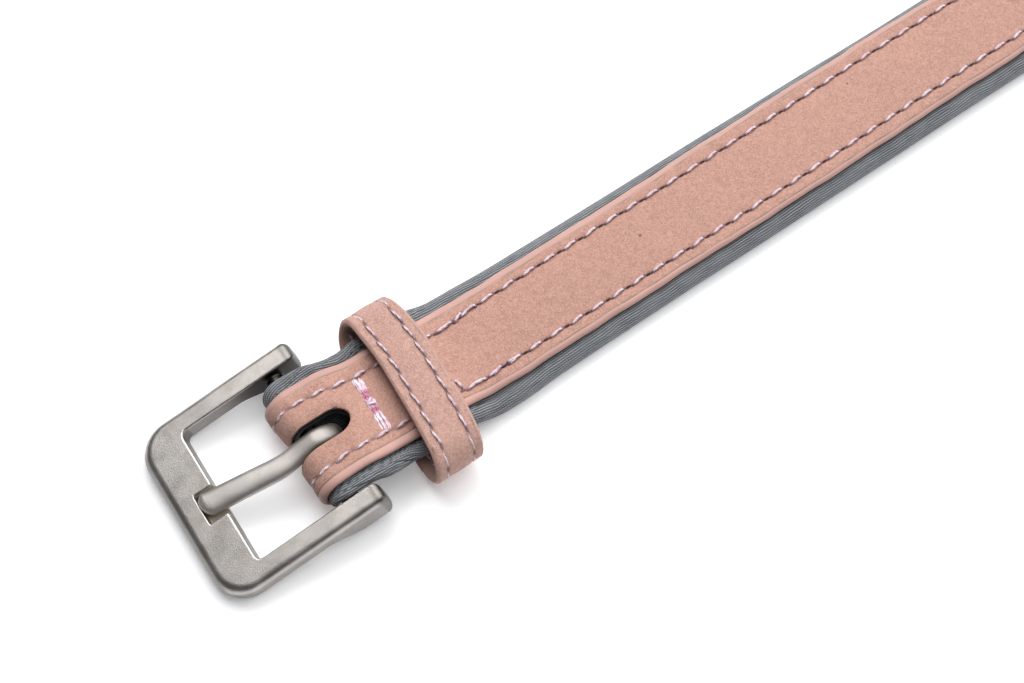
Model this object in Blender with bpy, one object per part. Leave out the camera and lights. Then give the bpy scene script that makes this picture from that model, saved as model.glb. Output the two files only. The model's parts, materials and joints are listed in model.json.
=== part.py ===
"""A padded leather dog collar that lies open and straight, with its buckle at the -X end."""

import math
from collections import namedtuple

import bmesh
import bpy
from mathutils import Vector

MM = 0.001

# Gap kept between two pieces that touch on the real collar
clearance = 0.3 * MM

# How far a cutting shape runs past what it cuts
cutter_over = 5.0 * MM

# Directions of a section that stands on the bar's axis, in degrees
over_bar = 90.0
under_bar = -90.0

# Strap
strap_length = 405.0 * MM
leather_width = 16.9 * MM
leather_thickness = 1.5 * MM
roll_show = 2.6 * MM
padding_thickness = 3.35 * MM
roll_thickness = 3.6 * MM
rise_length = 36.0 * MM
straight_step = 24.0 * MM

# Fold round the bar, with the slot for the prong
bar_play = 0.5 * MM
fold_squeeze = 0.27
fold_leather = 1.2 * MM
slot_width = 4.5 * MM
slot_reach = 6.4 * MM
return_length = 24.0 * MM
return_end_leather = 0.8 * MM
return_padding_length = 11.0 * MM
return_padding_thin = 0.45

# Tail
tail_length = 140.0 * MM
tail_slope = 16.0 * MM
hole_diameter = 4.2 * MM
hole_pitch = 20.0 * MM
hole_count = 5
first_hole = 30.0 * MM

# Buckle frame
bar_radius = 1.5 * MM
window_play = 0.8 * MM
arm_width = 3.6 * MM
front_width = 7.4 * MM
frame_reach = 24.3 * MM
arm_end_reach = 4.9 * MM
frame_thickness = 3.6 * MM
arm_end_depth = 6.0 * MM
arm_taper = 7.0 * MM
outer_corner = 5.6 * MM
inner_corner = 1.0 * MM
top_round = 1.3 * MM
inner_round = 0.35 * MM
under_round = 0.6 * MM
arm_end_round = 1.2 * MM
arm_end_shrink = 0.6
notch_width = 5.5 * MM
notch_length = 3.2 * MM
notch_depth = 1.7 * MM
frame_side = 1.0 * MM
frame_turn = -1.7

# Prong
prong_width = 3.9 * MM
prong_thickness = 2.3 * MM
prong_loop_width = 3.2 * MM
prong_loop_side = -0.4 * MM
prong_tip_side = 0.3 * MM
prong_bend = 6.0 * MM
prong_squareness = 0.8
prong_tip_thin = 0.55
loop_end_angle = -185.0
loop_thin = 0.4
loop_thin_from = 0.6

# Keeper loop
keeper_width = 8.3 * MM
keeper_thickness = 1.3 * MM
keeper_place = 16.9 * MM
keeper_play = 5.0 * MM
keeper_room = 1.8 * MM
keeper_crown = 0.5 * MM
keeper_lean = 2.1 * MM
keeper_side = -0.4 * MM

# Worked out from the sizes above
padding_width = leather_width + 2 * roll_show
fold_bulge = 1.06
window_width = padding_width * fold_bulge + 2 * window_play
frame_width = window_width + 2 * arm_width
fold_inside = bar_radius + bar_play
fold_padding = padding_thickness * fold_squeeze
fold_seat = fold_inside + fold_padding + clearance
fold_radius = fold_seat + fold_leather
keeper_level = fold_leather + keeper_thickness + 2 * clearance
leather_joint = keeper_place
padding_end = strap_length - tail_length
frame_top = arm_end_depth / 2
prong_ring = bar_radius + clearance + prong_thickness / 2
tip_flat = 2 * leather_thickness

# Sections of the strap from the bar to where it lies flat. place is a share of rise_length;
# by_fold and by_keeper set the underside of the padding, as shares of its height over the bar
# and over the keeper; middle and roll are shares of the padding's and its side roll's thickness;
# padding and leather are shares of their widths; shift is a share of the frame's side offset;
# skin is the leather's thickness, from 0 at the fold's to 1 at the strap's.
Section = namedtuple("Section", "place by_fold by_keeper middle roll padding leather shift skin")
RISE = (
    Section(0.00, 1.00, 0.00, fold_squeeze, 0.53, fold_bulge, 1.03, 0.65, 0.00),
    Section(0.13, 0.95, 0.05, 0.28, 0.56, 1.06, 1.03, 0.60, 0.20),
    Section(0.22, 0.66, 0.34, 0.33, 0.62, 1.045, 1.015, 0.45, 0.40),
    Section(0.30, 0.22, 0.78, 0.50, 0.69, 1.035, 1.00, 0.30, 0.60),
    Section(0.36, 0.02, 1.00, 0.60, 0.76, 1.05, 1.00, 0.20, 0.75),
    Section(0.58, 0.00, 1.00, 0.60, 0.76, 1.09, 1.00, 0.10, 0.90),
    Section(0.67, 0.00, 0.42, 0.90, 0.95, 1.085, 1.00, 0.05, 0.95),
    Section(0.78, 0.00, 0.03, 1.06, 1.03, 1.065, 1.00, 0.00, 1.00),
    Section(1.00, 0.00, 0.00, 1.00, 1.00, 1.03, 1.00, 0.00, 1.00),
    Section(1.80, 0.00, 0.00, 1.00, 1.00, 1.00, 1.00, 0.00, 1.00),
)

# Sections where the strap comes down to the tail. place is a share of tail_slope from the start
# of the slope; middle, roll and padding are as above; lift is the share of the clearance kept
# under the leather, and skin its thickness as a share of the strap's.
TailSection = namedtuple("TailSection", "place middle roll padding lift skin")
TAIL = (
    TailSection(0.00, 1.00, 1.00, 1.00, 1.0, 1.00),
    TailSection(0.35, 0.93, 0.95, 0.99, 1.0, 1.00),
    TailSection(0.70, 0.65, 0.70, 0.97, 1.0, 1.04),
    TailSection(1.00, 0.30, 0.36, 0.88, 1.0, 1.12),
    TailSection(1.30, 0.07, 0.30, 0.80, 0.3, 1.18),
    TailSection(1.65, 0.00, 0.30, 0.80, 0.0, 1.20),
)

# Widths and thicknesses along the prong: place is a share of the way from its tip to the bar
ProngSection = namedtuple("ProngSection", "place width thickness")
PRONG = (
    ProngSection(0.00, 1.06, 0.95),
    ProngSection(0.25, 1.03, 1.00),
    ProngSection(0.60, 0.97, 1.03),
    ProngSection(0.76, 0.90, 1.00),
    ProngSection(1.00, prong_loop_width / prong_width, 1.00),
)


def row_at(rows, place):
    """Every column of a table of sections at one place, smooth and without overshoot."""
    places = [row.place for row in rows]
    if place <= places[0]:
        return rows[0]
    if place >= places[-1]:
        return rows[-1]
    i = max(k for k, start in enumerate(places) if start <= place)
    span = places[i + 1] - places[i]
    t = (place - places[i]) / span
    values = []
    for column in range(len(rows[0])):
        steps = [
            (b[column] - a[column]) / (b.place - a.place) for a, b in zip(rows, rows[1:])
        ]
        slopes = [steps[0]]
        for before, after in zip(steps, steps[1:]):
            turns = before * after <= 0
            slopes.append(0.0 if turns else 2 * before * after / (before + after))
        slopes.append(steps[-1])
        start, end = rows[i][column], rows[i + 1][column]
        bend_in, bend_out = slopes[i] * span, slopes[i + 1] * span
        values.append(
            start * (1 + 2 * t) * (1 - t) ** 2
            + bend_in * t * (1 - t) ** 2
            + end * t * t * (3 - 2 * t)
            + bend_out * t * t * (t - 1)
        )
    return type(rows[0])(*values)


def spread(start, end, count):
    """count + 1 even values from start to end."""
    return [start + (end - start) * k / count for k in range(count + 1)]


def arc(centre_y, centre_h, radius, start, end, count):
    """Points (across, height) on an arc, angles in degrees."""
    return [
        (
            centre_y + radius * math.cos(math.radians(angle)),
            centre_h + radius * math.sin(math.radians(angle)),
        )
        for angle in spread(start, end, count)
    ]


def circle(centre_y, centre_h, radius, count):
    """count even points round a circle."""
    return arc(centre_y, centre_h, radius, 0, 360, count)[:-1]


def loft(name, rings, finish, closed=False, smooth_below=40.0):
    """One closed body through rings of points. closed joins the last ring to the first."""
    shape = bmesh.new()
    loops = [[shape.verts.new(point) for point in ring] for ring in rings]
    pairs = list(zip(loops, loops[1:]))
    if closed:
        pairs.append((loops[-1], loops[0]))
    for first, second in pairs:
        for k in range(len(first)):
            after = (k + 1) % len(first)
            shape.faces.new((first[k], first[after], second[after], second[k]))
    if not closed:
        shape.faces.new(loops[0])
        shape.faces.new(loops[-1])
    bmesh.ops.recalc_face_normals(shape, faces=shape.faces)
    if shape.calc_volume(signed=True) < 0:
        bmesh.ops.reverse_faces(shape, faces=shape.faces)
    mesh = bpy.data.meshes.new(name)
    shape.to_mesh(mesh)
    shape.free()
    mesh.shade_smooth()
    mesh.set_sharp_from_angle(angle=math.radians(smooth_below))
    if finish:
        mesh.materials.append(finish)
    piece = bpy.data.objects.new(name, mesh)
    bpy.context.scene.collection.objects.link(piece)
    return piece


def boolean(piece, other, operation):
    """Cuts other from piece, or joins it, and hides it as a helper."""
    other.hide_render = True
    other.display_type = "WIRE"
    step = piece.modifiers.new(other.name, "BOOLEAN")
    step.operation = operation
    step.solver = "EXACT"
    step.object = other


def prism(name, outline, low, high):
    """A straight prism along Z over an outline of (x, y) points."""
    rings = [[Vector((x, y, z)) for x, y in outline] for z in (low, high)]
    return loft(name, rings, None)


def make_material(name, colour, roughness, metallic=0.0):
    made = bpy.data.materials.new(name)
    made.use_nodes = True
    shader = made.node_tree.nodes["Principled BSDF"]
    shader.inputs["Base Color"].default_value = (*colour, 1.0)
    shader.inputs["Roughness"].default_value = roughness
    shader.inputs["Metallic"].default_value = metallic
    return made


def frame_tilt():
    """How far the frame leans down from the bar until its front bar rests at height 0."""
    along = frame_reach - under_round
    below = frame_thickness - frame_top - under_round
    drop = (fold_radius - under_round) / math.hypot(along, below)
    return math.asin(drop) - math.atan2(below, along)


def frame_depth(x):
    """Depth of the arm at x: the frame's thickness, growing to the arm end's near the bar."""
    t = min(max((x + arm_taper) / arm_taper, 0.0), 1.0)
    return frame_thickness + (arm_end_depth - frame_thickness) * t * t * (3 - 2 * t)


def frame_ring(inner, outer, depth, inset=0.0):
    """Section of the frame between a point on its inner and on its outer edge."""
    inner, outer = Vector(inner), Vector(outer)
    across = (outer - inner).normalized()
    width = (outer - inner).length - 2 * inset
    start = inner + across * inset
    top = frame_top - inset
    low = frame_top - depth + inset
    shrink = 1 - inset / arm_end_round * arm_end_shrink
    crown, edge, under = top_round * shrink, inner_round * shrink, under_round * shrink
    profile = (
        arc(edge, top - edge, edge, 180, 90, 2)
        + arc(width - crown, top - crown, crown, 90, 0, 4)
        + arc(width - under, low + under, under, 0, -90, 2)
        + arc(edge, low + edge, edge, -90, -180, 1)
    )
    return [
        Vector((start.x + across.x * a, start.y + across.y * a, h)) for a, h in profile
    ]


def frame_half():
    """Rings of the frame from the end of the +Y arm to the middle of the front bar."""
    inside, outside = window_width / 2, frame_width / 2
    front = -frame_reach
    back = front + front_width
    rings = []
    for angle in spread(90.0, 0.0, 3)[:-1]:
        inset = arm_end_round * (1 - math.cos(math.radians(angle)))
        x = arm_end_reach - arm_end_round * (1 - math.sin(math.radians(angle)))
        rings.append(frame_ring((x, inside), (x, outside), frame_depth(x), inset))
    for x in spread(arm_end_reach - arm_end_round, -arm_taper, 9):
        rings.append(frame_ring((x, inside), (x, outside), frame_depth(x)))
    for angle in spread(90.0, 180.0, 7):
        turn = Vector((math.cos(math.radians(angle)), math.sin(math.radians(angle))))
        near = Vector((back + inner_corner, inside - inner_corner)) + turn * inner_corner
        far = Vector((front + outer_corner, outside - outer_corner)) + turn * outer_corner
        rings.append(frame_ring(near, far, frame_thickness))
    return rings


def mirrored(ring):
    return [Vector((point.x, -point.y, point.z)) for point in ring]


def buckle_frame(metal):
    """U-shaped frame with the bar across its arm ends and the recess for the prong's tip."""
    half = frame_half()
    frame = loft("buckle_frame", half + [mirrored(ring) for ring in reversed(half)], metal)

    seat = (window_width + arm_width) / 2
    rings = [[Vector((x, y, z)) for x, z in circle(0, 0, bar_radius, 24)] for y in (-seat, seat)]
    bar = loft("frame_bar", rings, None)
    boolean(frame, bar, "UNION")

    back = -frame_reach + front_width
    sides = (notch_width / 2, -notch_width / 2)
    outline = [(back - notch_length, sides[0]), (back - notch_length, sides[1])]
    outline += [(back + cutter_over, sides[1]), (back + cutter_over, sides[0])]
    notch = prism("frame_notch", outline, frame_top - notch_depth, frame_top + cutter_over)
    boolean(frame, notch, "DIFFERENCE")

    for piece in (frame, bar, notch):
        place_on_bar(piece)
    return frame


def place_on_bar(piece):
    piece.location = (0, frame_side, fold_radius)
    piece.rotation_euler = (0, -frame_tilt(), math.radians(frame_turn))


def prong_ring_at(centre, out, half_width, half_height):
    """Rounded section across Y at a point of the prong's middle line."""
    points = []
    for side, up in circle(0, 0, 1, 12):
        side = math.copysign(abs(side) ** prong_squareness, side)
        up = math.copysign(abs(up) ** prong_squareness, up)
        points.append(centre + Vector((0, side * half_width, 0)) + out * up * half_height)
    return points


def prong(metal):
    """Tongue from its tip in the recess to its loop round the bar."""
    tip_x = -frame_reach + front_width - notch_length + clearance
    tip_z = frame_top - notch_depth + clearance + prong_thickness / 2
    tip_round = prong_width / 2
    loop_y = prong_loop_side - frame_side
    rings = []
    shank = [
        tip_x + tip_round * (1 - math.cos(math.radians(angle)))
        for angle in spread(0.0, 90.0, 6)[1:-1]
    ]
    shank += spread(tip_x + tip_round, -prong_bend, 7)
    shank += spread(-prong_bend, 0.0, 4)[1:]
    for x in shank:
        share = (x - tip_x) / -tip_x
        row = row_at(PRONG, share)
        end = min((x - tip_x) / tip_round, 1.0)
        rounding = math.sqrt(1 - (1 - end) ** 2)
        lean = min(max((x + prong_bend) / (prong_bend + tip_x), 0.0), 1.0)
        y = loop_y + (prong_tip_side - loop_y) * lean
        z = prong_ring + (tip_z - prong_ring) * (1 - share)
        thin = 1 - prong_tip_thin * (1 - rounding)
        half_width = prong_width / 2 * row.width * rounding
        half_height = prong_thickness / 2 * row.thickness * thin
        centre = Vector((x, y, z))
        rings.append(prong_ring_at(centre, Vector((0, 0, 1)), half_width, half_height))
    for angle in spread(over_bar, loop_end_angle, 15)[1:]:
        out = Vector((math.cos(math.radians(angle)), 0, math.sin(math.radians(angle))))
        done = (over_bar - angle) / (over_bar - loop_end_angle)
        thin = max(done - loop_thin_from, 0.0) / (1 - loop_thin_from)
        half_height = prong_thickness / 2 * (1 - loop_thin * thin)
        centre = out * (bar_radius + clearance + half_height) + Vector((0, loop_y, 0))
        rings.append(prong_ring_at(centre, out, prong_loop_width / 2, half_height))
    piece = loft("prong", rings, metal)
    place_on_bar(piece)
    return piece


def strap_profile(x):
    """Heights and widths of the strap's upper run at x, measured from the bar's axis."""
    rise = row_at(RISE, x / rise_length)
    slope_start = padding_end - tail_slope
    tail = row_at(TAIL, (x - slope_start) / tail_slope)
    under = (fold_radius + fold_inside) * rise.by_fold + keeper_level * rise.by_keeper
    middle = padding_thickness * rise.middle * tail.middle
    skin = (fold_leather + (leather_thickness - fold_leather) * rise.skin) * tail.skin
    return {
        "under": under - fold_radius,
        "middle": middle,
        "roll": roll_thickness * rise.roll * tail.roll,
        "padding": padding_width * rise.padding * tail.padding / 2,
        "leather": leather_width * rise.leather / 2,
        "shift": frame_side * rise.shift,
        "seat": under - fold_radius + middle + clearance * tail.lift,
        "skin": skin,
    }


def fold_profile():
    profile = strap_profile(0.0)
    profile["under"] = fold_inside
    profile["seat"] = fold_seat
    return profile


def stand(x, angle):
    """Turns (across, height) into a point of the section that stands on the bar's axis at x."""
    out = Vector((math.cos(math.radians(angle)), 0, math.sin(math.radians(angle))))
    foot = Vector((x, 0, fold_radius))
    return lambda across, height: foot + out * height + Vector((0, across, 0))


def leather_ring(x, angle, half_width, low, thickness):
    """Strip section with half-round turned edges."""
    edge = thickness / 2
    middle = low + edge
    profile = [(0, low + thickness)]
    profile += arc(half_width - edge, middle, edge, 90, -90, 4)
    profile += [(0, low)]
    profile += arc(edge - half_width, middle, edge, 270, 90, 4)
    place = stand(x, angle)
    return [place(across, height) for across, height in profile]


def padding_ring(x, angle, profile):
    """Lining section: flat middle under the leather and a round roll along each side."""
    low, middle = profile["under"], profile["middle"]
    radius = profile["roll"] / 2
    half = profile["padding"]
    foot = profile["leather"] + clearance
    crest = half - radius
    flank = (foot + crest) / 2
    ridge = low + 2 * radius
    side = [(0, low + middle), (foot, low + middle), (flank, (low + middle + ridge) / 2)]
    side += arc(crest, low + radius, radius, 90, -90, 6)
    other = [(-across, height) for across, height in reversed(side[1:])]
    place = stand(x, angle)
    shift = profile["shift"]
    return [
        place(across + shift, height) for across, height in side + [(0, low)] + other
    ]


def slot_cutter():
    """Slot through both runs of the fold, open over the bar and round at its end."""
    half = slot_width / 2
    outline = arc(slot_reach - half, 0, half, -90, 90, 8)
    outline += [(-fold_radius - cutter_over, half), (-fold_radius - cutter_over, -half)]
    return prism("prong_slot", outline, -cutter_over, 2 * fold_radius + cutter_over)


def upper_places():
    """Places along the upper run: close together where it rises, wide apart where it is flat."""
    rise_end = rise_length * RISE[-1].place
    slope_start = padding_end - tail_slope
    rise = spread(0.0, rise_length, 18) + spread(rise_length, rise_end, 3)[1:]
    flat = spread(rise_end, slope_start, max(2, round((slope_start - rise_end) / straight_step)))
    slope = spread(slope_start, padding_end, 6)
    return rise + flat[1:] + slope[1:]


def upper_leather_ring(x):
    profile = strap_profile(x)
    return leather_ring(x, over_bar, profile["leather"], profile["seat"], profile["skin"])


def fold_leather_strip(leather, slot):
    """Strip from the end of its return, round the bar and up to its joint under the keeper."""
    rings = []
    fold = fold_profile()
    for x in spread(return_length, 0.0, 6)[:-1]:
        thin = x / return_length
        skin = fold_leather + (return_end_leather - fold_leather) * thin
        half = leather_width / 2 * (RISE[0].leather + (1 - RISE[0].leather) * thin)
        rings.append(leather_ring(x, under_bar, half, fold_radius - skin, skin))
    for angle in spread(under_bar + 360, over_bar, 14):
        rings.append(leather_ring(0.0, angle, fold["leather"], fold["seat"], fold["skin"]))
    places = [x for x in upper_places()[1:] if x < leather_joint - clearance]
    rings += [upper_leather_ring(x) for x in places + [leather_joint]]
    strip = loft("fold_leather", rings, leather)
    boolean(strip, slot, "DIFFERENCE")
    return strip


def strap_leather(leather):
    """Strip from its joint under the keeper along the top of the lining to the tail's tip."""
    start = leather_joint + clearance
    places = [start] + [x for x in upper_places() if x > start + clearance]
    tip_round = leather_width / 2
    tail_start = padding_end + tail_slope * (TAIL[-1].place - 1)
    places += spread(padding_end, tail_start, 3)[1:]
    holes = [strap_length - first_hole - hole_pitch * k for k in reversed(range(hole_count))]
    between = [holes[0] - hole_pitch / 2] + [hole + hole_pitch / 2 for hole in holes]
    places += [x for x in between if tail_start < x < strap_length - tip_round]
    places.append(strap_length - tip_round)
    rings = [upper_leather_ring(x) for x in places]
    tail = strap_profile(strap_length)
    for angle in spread(0.0, 90.0, 7)[1:]:
        x = strap_length - tip_round * (1 - math.sin(math.radians(angle)))
        half = tip_flat / 2 + (tip_round - tip_flat / 2) * math.cos(math.radians(angle))
        rings.append(leather_ring(x, over_bar, half, tail["seat"], tail["skin"]))
    strip = loft("strap_leather", rings, leather)
    for k, x in enumerate(holes):
        outline = circle(x, 0, hole_diameter / 2, 16)
        hole = prism(f"prong_hole_{k + 1}", outline, -cutter_over, cutter_over)
        boolean(strip, hole, "DIFFERENCE")
    return strip


def strap_padding(fabric, slot):
    """Padded lining from its short return, round the bar and along under the strip."""
    rings = []
    fold = fold_profile()
    for x in spread(return_padding_length, 0.0, 4)[:-1]:
        thin = 1 - return_padding_thin * x / return_padding_length
        profile = dict(fold)
        profile["middle"] = fold["middle"] * thin
        profile["roll"] = fold["roll"] * thin
        profile["under"] = fold["under"] + fold["middle"] - profile["middle"]
        rings.append(padding_ring(x, under_bar, profile))
    for angle in spread(under_bar + 360, over_bar, 12):
        rings.append(padding_ring(0.0, angle, fold))
    for x in upper_places()[1:]:
        rings.append(padding_ring(x, over_bar, strap_profile(x)))
    lining = loft("strap_padding", rings, fabric)
    boolean(lining, slot, "DIFFERENCE")
    return lining


def keeper_bend(centre_y, centre_h, radius, start):
    """Half a turn of the band's middle line, as (across, height, direction)."""
    turns = spread(start, start + 180, 10)
    points = arc(centre_y, centre_h, radius, start, start + 180, 10)
    return [(y, h, angle) for (y, h), angle in zip(points, turns)]


def keeper_loop(leather):
    """Band round the strap: its lower run lies between the strap and the return."""
    half = padding_width / 2 + keeper_play - keeper_thickness / 2
    low = fold_leather + clearance + keeper_thickness / 2
    strap = strap_profile(keeper_place)
    strap_top = fold_radius + strap["seat"] + strap["skin"]
    high = strap_top + keeper_room + keeper_thickness / 2
    side = (high - low) / 2
    flat = half - side
    path = [(y, low, -90.0) for y in spread(-flat, flat, 4)[1:-1]]
    path += keeper_bend(flat, low + side, side, -90.0)
    path += [
        (y, high + keeper_crown * (1 - (y / flat) ** 2), 90.0)
        for y in spread(flat, -flat, 6)[1:-1]
    ]
    path += keeper_bend(-flat, low + side, side, 90.0)
    edge = keeper_thickness / 2
    reach = keeper_width / 2 - edge
    rings = []
    for y, z, angle in path:
        out = Vector((0, math.cos(math.radians(angle)), math.sin(math.radians(angle))))
        lean = keeper_lean * ((z - low) / (high - low) - 0.5)
        centre = Vector((keeper_place + lean, y + keeper_side, z))
        profile = arc(reach, 0, edge, 90, -90, 4) + arc(-reach, 0, edge, 270, 90, 4)
        rings.append([centre + Vector((across, 0, 0)) + out * up for across, up in profile])
    return loft("keeper_loop", rings, leather, closed=True)


def set_on_origin(pieces):
    """Moves the whole collar so that the origin is the middle of its box's floor."""
    bpy.context.view_layer.update()
    graph = bpy.context.evaluated_depsgraph_get()
    corners = []
    for piece in pieces:
        made = piece.evaluated_get(graph)
        corners += [made.matrix_world @ vertex.co for vertex in made.data.vertices]
    low = Vector(map(min, zip(*corners)))
    high = Vector(map(max, zip(*corners)))
    shift = Vector((-(low.x + high.x) / 2, -(low.y + high.y) / 2, -low.z))
    for piece in bpy.context.scene.objects:
        piece.location += shift


def main():
    for old in list(bpy.data.objects):
        bpy.data.objects.remove(old, do_unlink=True)
    metal = make_material("matte nickel", (0.40, 0.37, 0.33), 0.5, 1.0)
    tongue = make_material("matte nickel prong", (0.42, 0.40, 0.36), 0.45, 1.0)
    nubuck = make_material("nubuck leather", (0.56, 0.31, 0.22), 0.85)
    folded = make_material("folded leather", (0.56, 0.31, 0.22), 0.85)
    band = make_material("keeper leather", (0.54, 0.30, 0.22), 0.85)
    lining = make_material("grey knit lining", (0.17, 0.21, 0.22), 0.9)
    slot = slot_cutter()
    set_on_origin(
        [
            buckle_frame(metal),
            prong(tongue),
            fold_leather_strip(folded, slot),
            strap_leather(nubuck),
            strap_padding(lining, slot),
            keeper_loop(band),
        ]
    )


main()
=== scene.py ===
"""Finished looks of a padded leather dog collar, built round its fixed model."""

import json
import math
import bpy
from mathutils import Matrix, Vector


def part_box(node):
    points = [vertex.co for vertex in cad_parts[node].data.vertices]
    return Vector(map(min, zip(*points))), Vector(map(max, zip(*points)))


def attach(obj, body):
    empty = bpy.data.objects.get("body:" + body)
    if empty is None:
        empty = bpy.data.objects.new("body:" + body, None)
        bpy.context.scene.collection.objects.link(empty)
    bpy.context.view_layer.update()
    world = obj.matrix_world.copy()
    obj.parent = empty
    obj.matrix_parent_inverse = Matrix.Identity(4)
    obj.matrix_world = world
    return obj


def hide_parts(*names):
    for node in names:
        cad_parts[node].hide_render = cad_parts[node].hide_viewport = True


bl_info = {
    "name": "Padded dog collar",
    "version": (1, 0, 0),
    "blender": (4, 5, 0),
    "location": "3D View > Sidebar > Collar",
    "description": "Builds a padded dog collar: leather, lining, buckle, keeper and stitching",
    "category": "Object",
}

import bmesh
import bpy
import numpy as np
from bpy.props import FloatProperty, FloatVectorProperty, IntProperty, PointerProperty
from mathutils import Euler, Matrix, Vector

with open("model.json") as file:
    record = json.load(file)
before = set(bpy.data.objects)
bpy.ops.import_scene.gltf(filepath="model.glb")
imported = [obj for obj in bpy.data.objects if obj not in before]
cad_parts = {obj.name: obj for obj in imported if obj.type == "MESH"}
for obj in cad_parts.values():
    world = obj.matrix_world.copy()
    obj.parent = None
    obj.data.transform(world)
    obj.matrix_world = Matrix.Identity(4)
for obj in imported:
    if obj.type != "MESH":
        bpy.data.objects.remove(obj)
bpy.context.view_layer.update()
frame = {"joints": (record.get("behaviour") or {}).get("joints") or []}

MM = 0.001

# The bar's axis, which the strap is folded round
bar = Vector(frame["joints"][0]["pos_m"])
fold_radius = bar.z
strap_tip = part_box("strap_leather")[1].x - bar.x

# Sizes shared with the solids
clearance = 0.3 * MM
fold_leather = 1.2 * MM
fold_inside = 2.0 * MM
fold_seat = fold_radius - fold_leather
fold_squeeze = 0.27
fold_bulge = 1.06
frame_side = 1.0 * MM
padding_thickness = 3.35 * MM
roll_thickness = 3.6 * MM
rise_length = 36.0 * MM
tail_length = 140.0 * MM
tail_slope = 16.0 * MM
padding_end = strap_tip - tail_length
return_length = 24.0 * MM
return_end_leather = 0.8 * MM
return_padding_length = 11.0 * MM
return_padding_thin = 0.45
slot_width = 4.5 * MM
slot_reach = 6.5 * MM
slot_round = 2.9 * MM
under_slot_reach = 4.4 * MM
cutter_over = 5.0 * MM
arm_end_reach = 4.9 * MM
recess_length = 3.40 * MM
arm_taper = 7.0 * MM
under_round = 0.6 * MM
keeper_level = fold_leather + 1.3 * MM + 2 * clearance

strap_origin = Vector((bar.x, bar.y - frame_side, 0))

# How the strap rises from the fold over the keeper, in shares of rise_length
RISE = (
    "place by_fold by_keeper middle roll padding leather shift skin",
    (0.00, 1.00, 0.00, fold_squeeze, 0.53, fold_bulge, 1.03, 0.65, 0.00),
    (0.13, 0.95, 0.05, 0.28, 0.56, 1.06, 1.03, 0.60, 0.20),
    (0.22, 0.66, 0.34, 0.33, 0.62, 1.045, 1.015, 0.45, 0.40),
    (0.30, 0.22, 0.78, 0.50, 0.69, 1.035, 1.00, 0.30, 0.60),
    (0.36, 0.02, 1.00, 0.60, 0.76, 1.05, 1.00, 0.20, 0.75),
    (0.58, 0.00, 1.00, 0.60, 0.76, 1.09, 1.00, 0.10, 0.90),
    (0.67, 0.00, 0.42, 0.90, 0.95, 1.085, 1.00, 0.05, 0.95),
    (0.78, 0.00, 0.03, 1.06, 1.03, 1.065, 1.00, 0.00, 1.00),
    (1.00, 0.00, 0.00, 1.00, 1.00, 1.03, 1.00, 0.00, 1.00),
    (1.80, 0.00, 0.00, 1.00, 1.00, 1.00, 1.00, 0.00, 1.00),
)
# How the padding runs out towards the tail, in shares of tail_slope
TAIL = (
    "place middle roll padding lift skin",
    (0.00, 1.00, 1.00, 1.00, 1.0, 1.00),
    (0.35, 0.93, 0.95, 0.99, 1.0, 1.00),
    (0.70, 0.65, 0.70, 0.97, 1.0, 1.04),
    (1.00, 0.30, 0.36, 0.88, 1.0, 1.12),
    (1.30, 0.07, 0.30, 0.80, 0.3, 1.18),
    (1.65, 0.00, 0.30, 0.80, 0.0, 1.20),
)
# The prong from its tip to its loop, in shares of its length
PRONG = (
    "place width thickness",
    (0.00, 1.06, 0.95),
    (0.25, 1.03, 1.00),
    (0.60, 0.97, 1.03),
    (0.76, 0.90, 1.00),
    (1.00, 0.82, 1.00),
)
# What the finished edges add to the solids' half widths on the far and near side, and how far
# in the stitch rows lie, at places along the strap, all in millimetres
LEATHER_SIDES = (
    "place far near far_row near_row",
    (-60.0, 0.00, 0.00, 2.90, 2.90),
    (-8.0, 0.15, 0.20, 3.00, 3.00),
    (0.0, 0.30, 0.40, 3.15, 3.20),
    (4.0, 0.30, 0.40, 3.45, 3.25),
    (8.0, 0.27, 0.40, 3.80, 3.20),
    (12.0, 0.20, 0.40, 3.55, 2.95),
    (16.0, 0.05, 0.40, 3.45, 2.75),
    (20.0, 0.00, 0.41, 3.75, 2.60),
    (24.0, -0.05, 0.42, 3.85, 2.50),
    (28.0, -0.04, 0.42, 3.50, 2.55),
    (34.0, -0.02, 0.42, 3.05, 2.72),
    (60.0, 0.00, 0.42, 2.90, 2.70),
    (76.0, 0.25, 0.46, 3.20, 2.70),
    (90.0, 0.45, 0.50, 3.22, 2.75),
    (105.0, 0.50, 0.38, 3.10, 2.85),
    (115.0, 0.60, 0.25, 3.00, 2.90),
    (180.0, 0.00, 0.00, 2.65, 2.65),
    (420.0, 0.00, 0.00, 2.65, 2.65),
)
# The same for the lining, with the share that is left of its rolls
LINING_SIDES = (
    "place far near roll",
    (-26.0, -2.60, -2.60, 0.90),
    (-14.0, -2.60, -2.60, 0.80),
    (-7.0, -1.10, -0.60, 0.70),
    (0.0, -0.55, 0.25, 0.74),
    (3.0, -0.62, 0.28, 0.86),
    (4.9, -0.85, 0.52, 0.95),
    (6.2, -1.15, 0.82, 1.00),
    (7.9, -1.18, 0.78, 1.00),
    (10.0, -0.75, 0.40, 1.00),
    (12.0, -0.35, 0.08, 1.00),
    (14.0, -0.05, -0.05, 1.00),
    (23.0, -0.05, -0.65, 1.00),
    (28.0, -0.15, -0.28, 1.00),
    (33.0, 0.00, 0.00, 1.00),
    (40.0, -0.10, -0.20, 1.00),
    (80.0, 0.00, -0.12, 1.00),
    (92.0, -0.10, -0.16, 1.00),
    (105.0, -0.16, -0.20, 1.00),
    (113.0, -0.30, -0.25, 1.00),
    (120.0, -0.35, -0.28, 1.00),
    (180.0, 0.00, 0.00, 1.00),
    (300.0, 0.00, 0.00, 1.00),
)


def length(name, description, default):
    return FloatProperty(name=name, description=description, default=default, unit="LENGTH")


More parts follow.
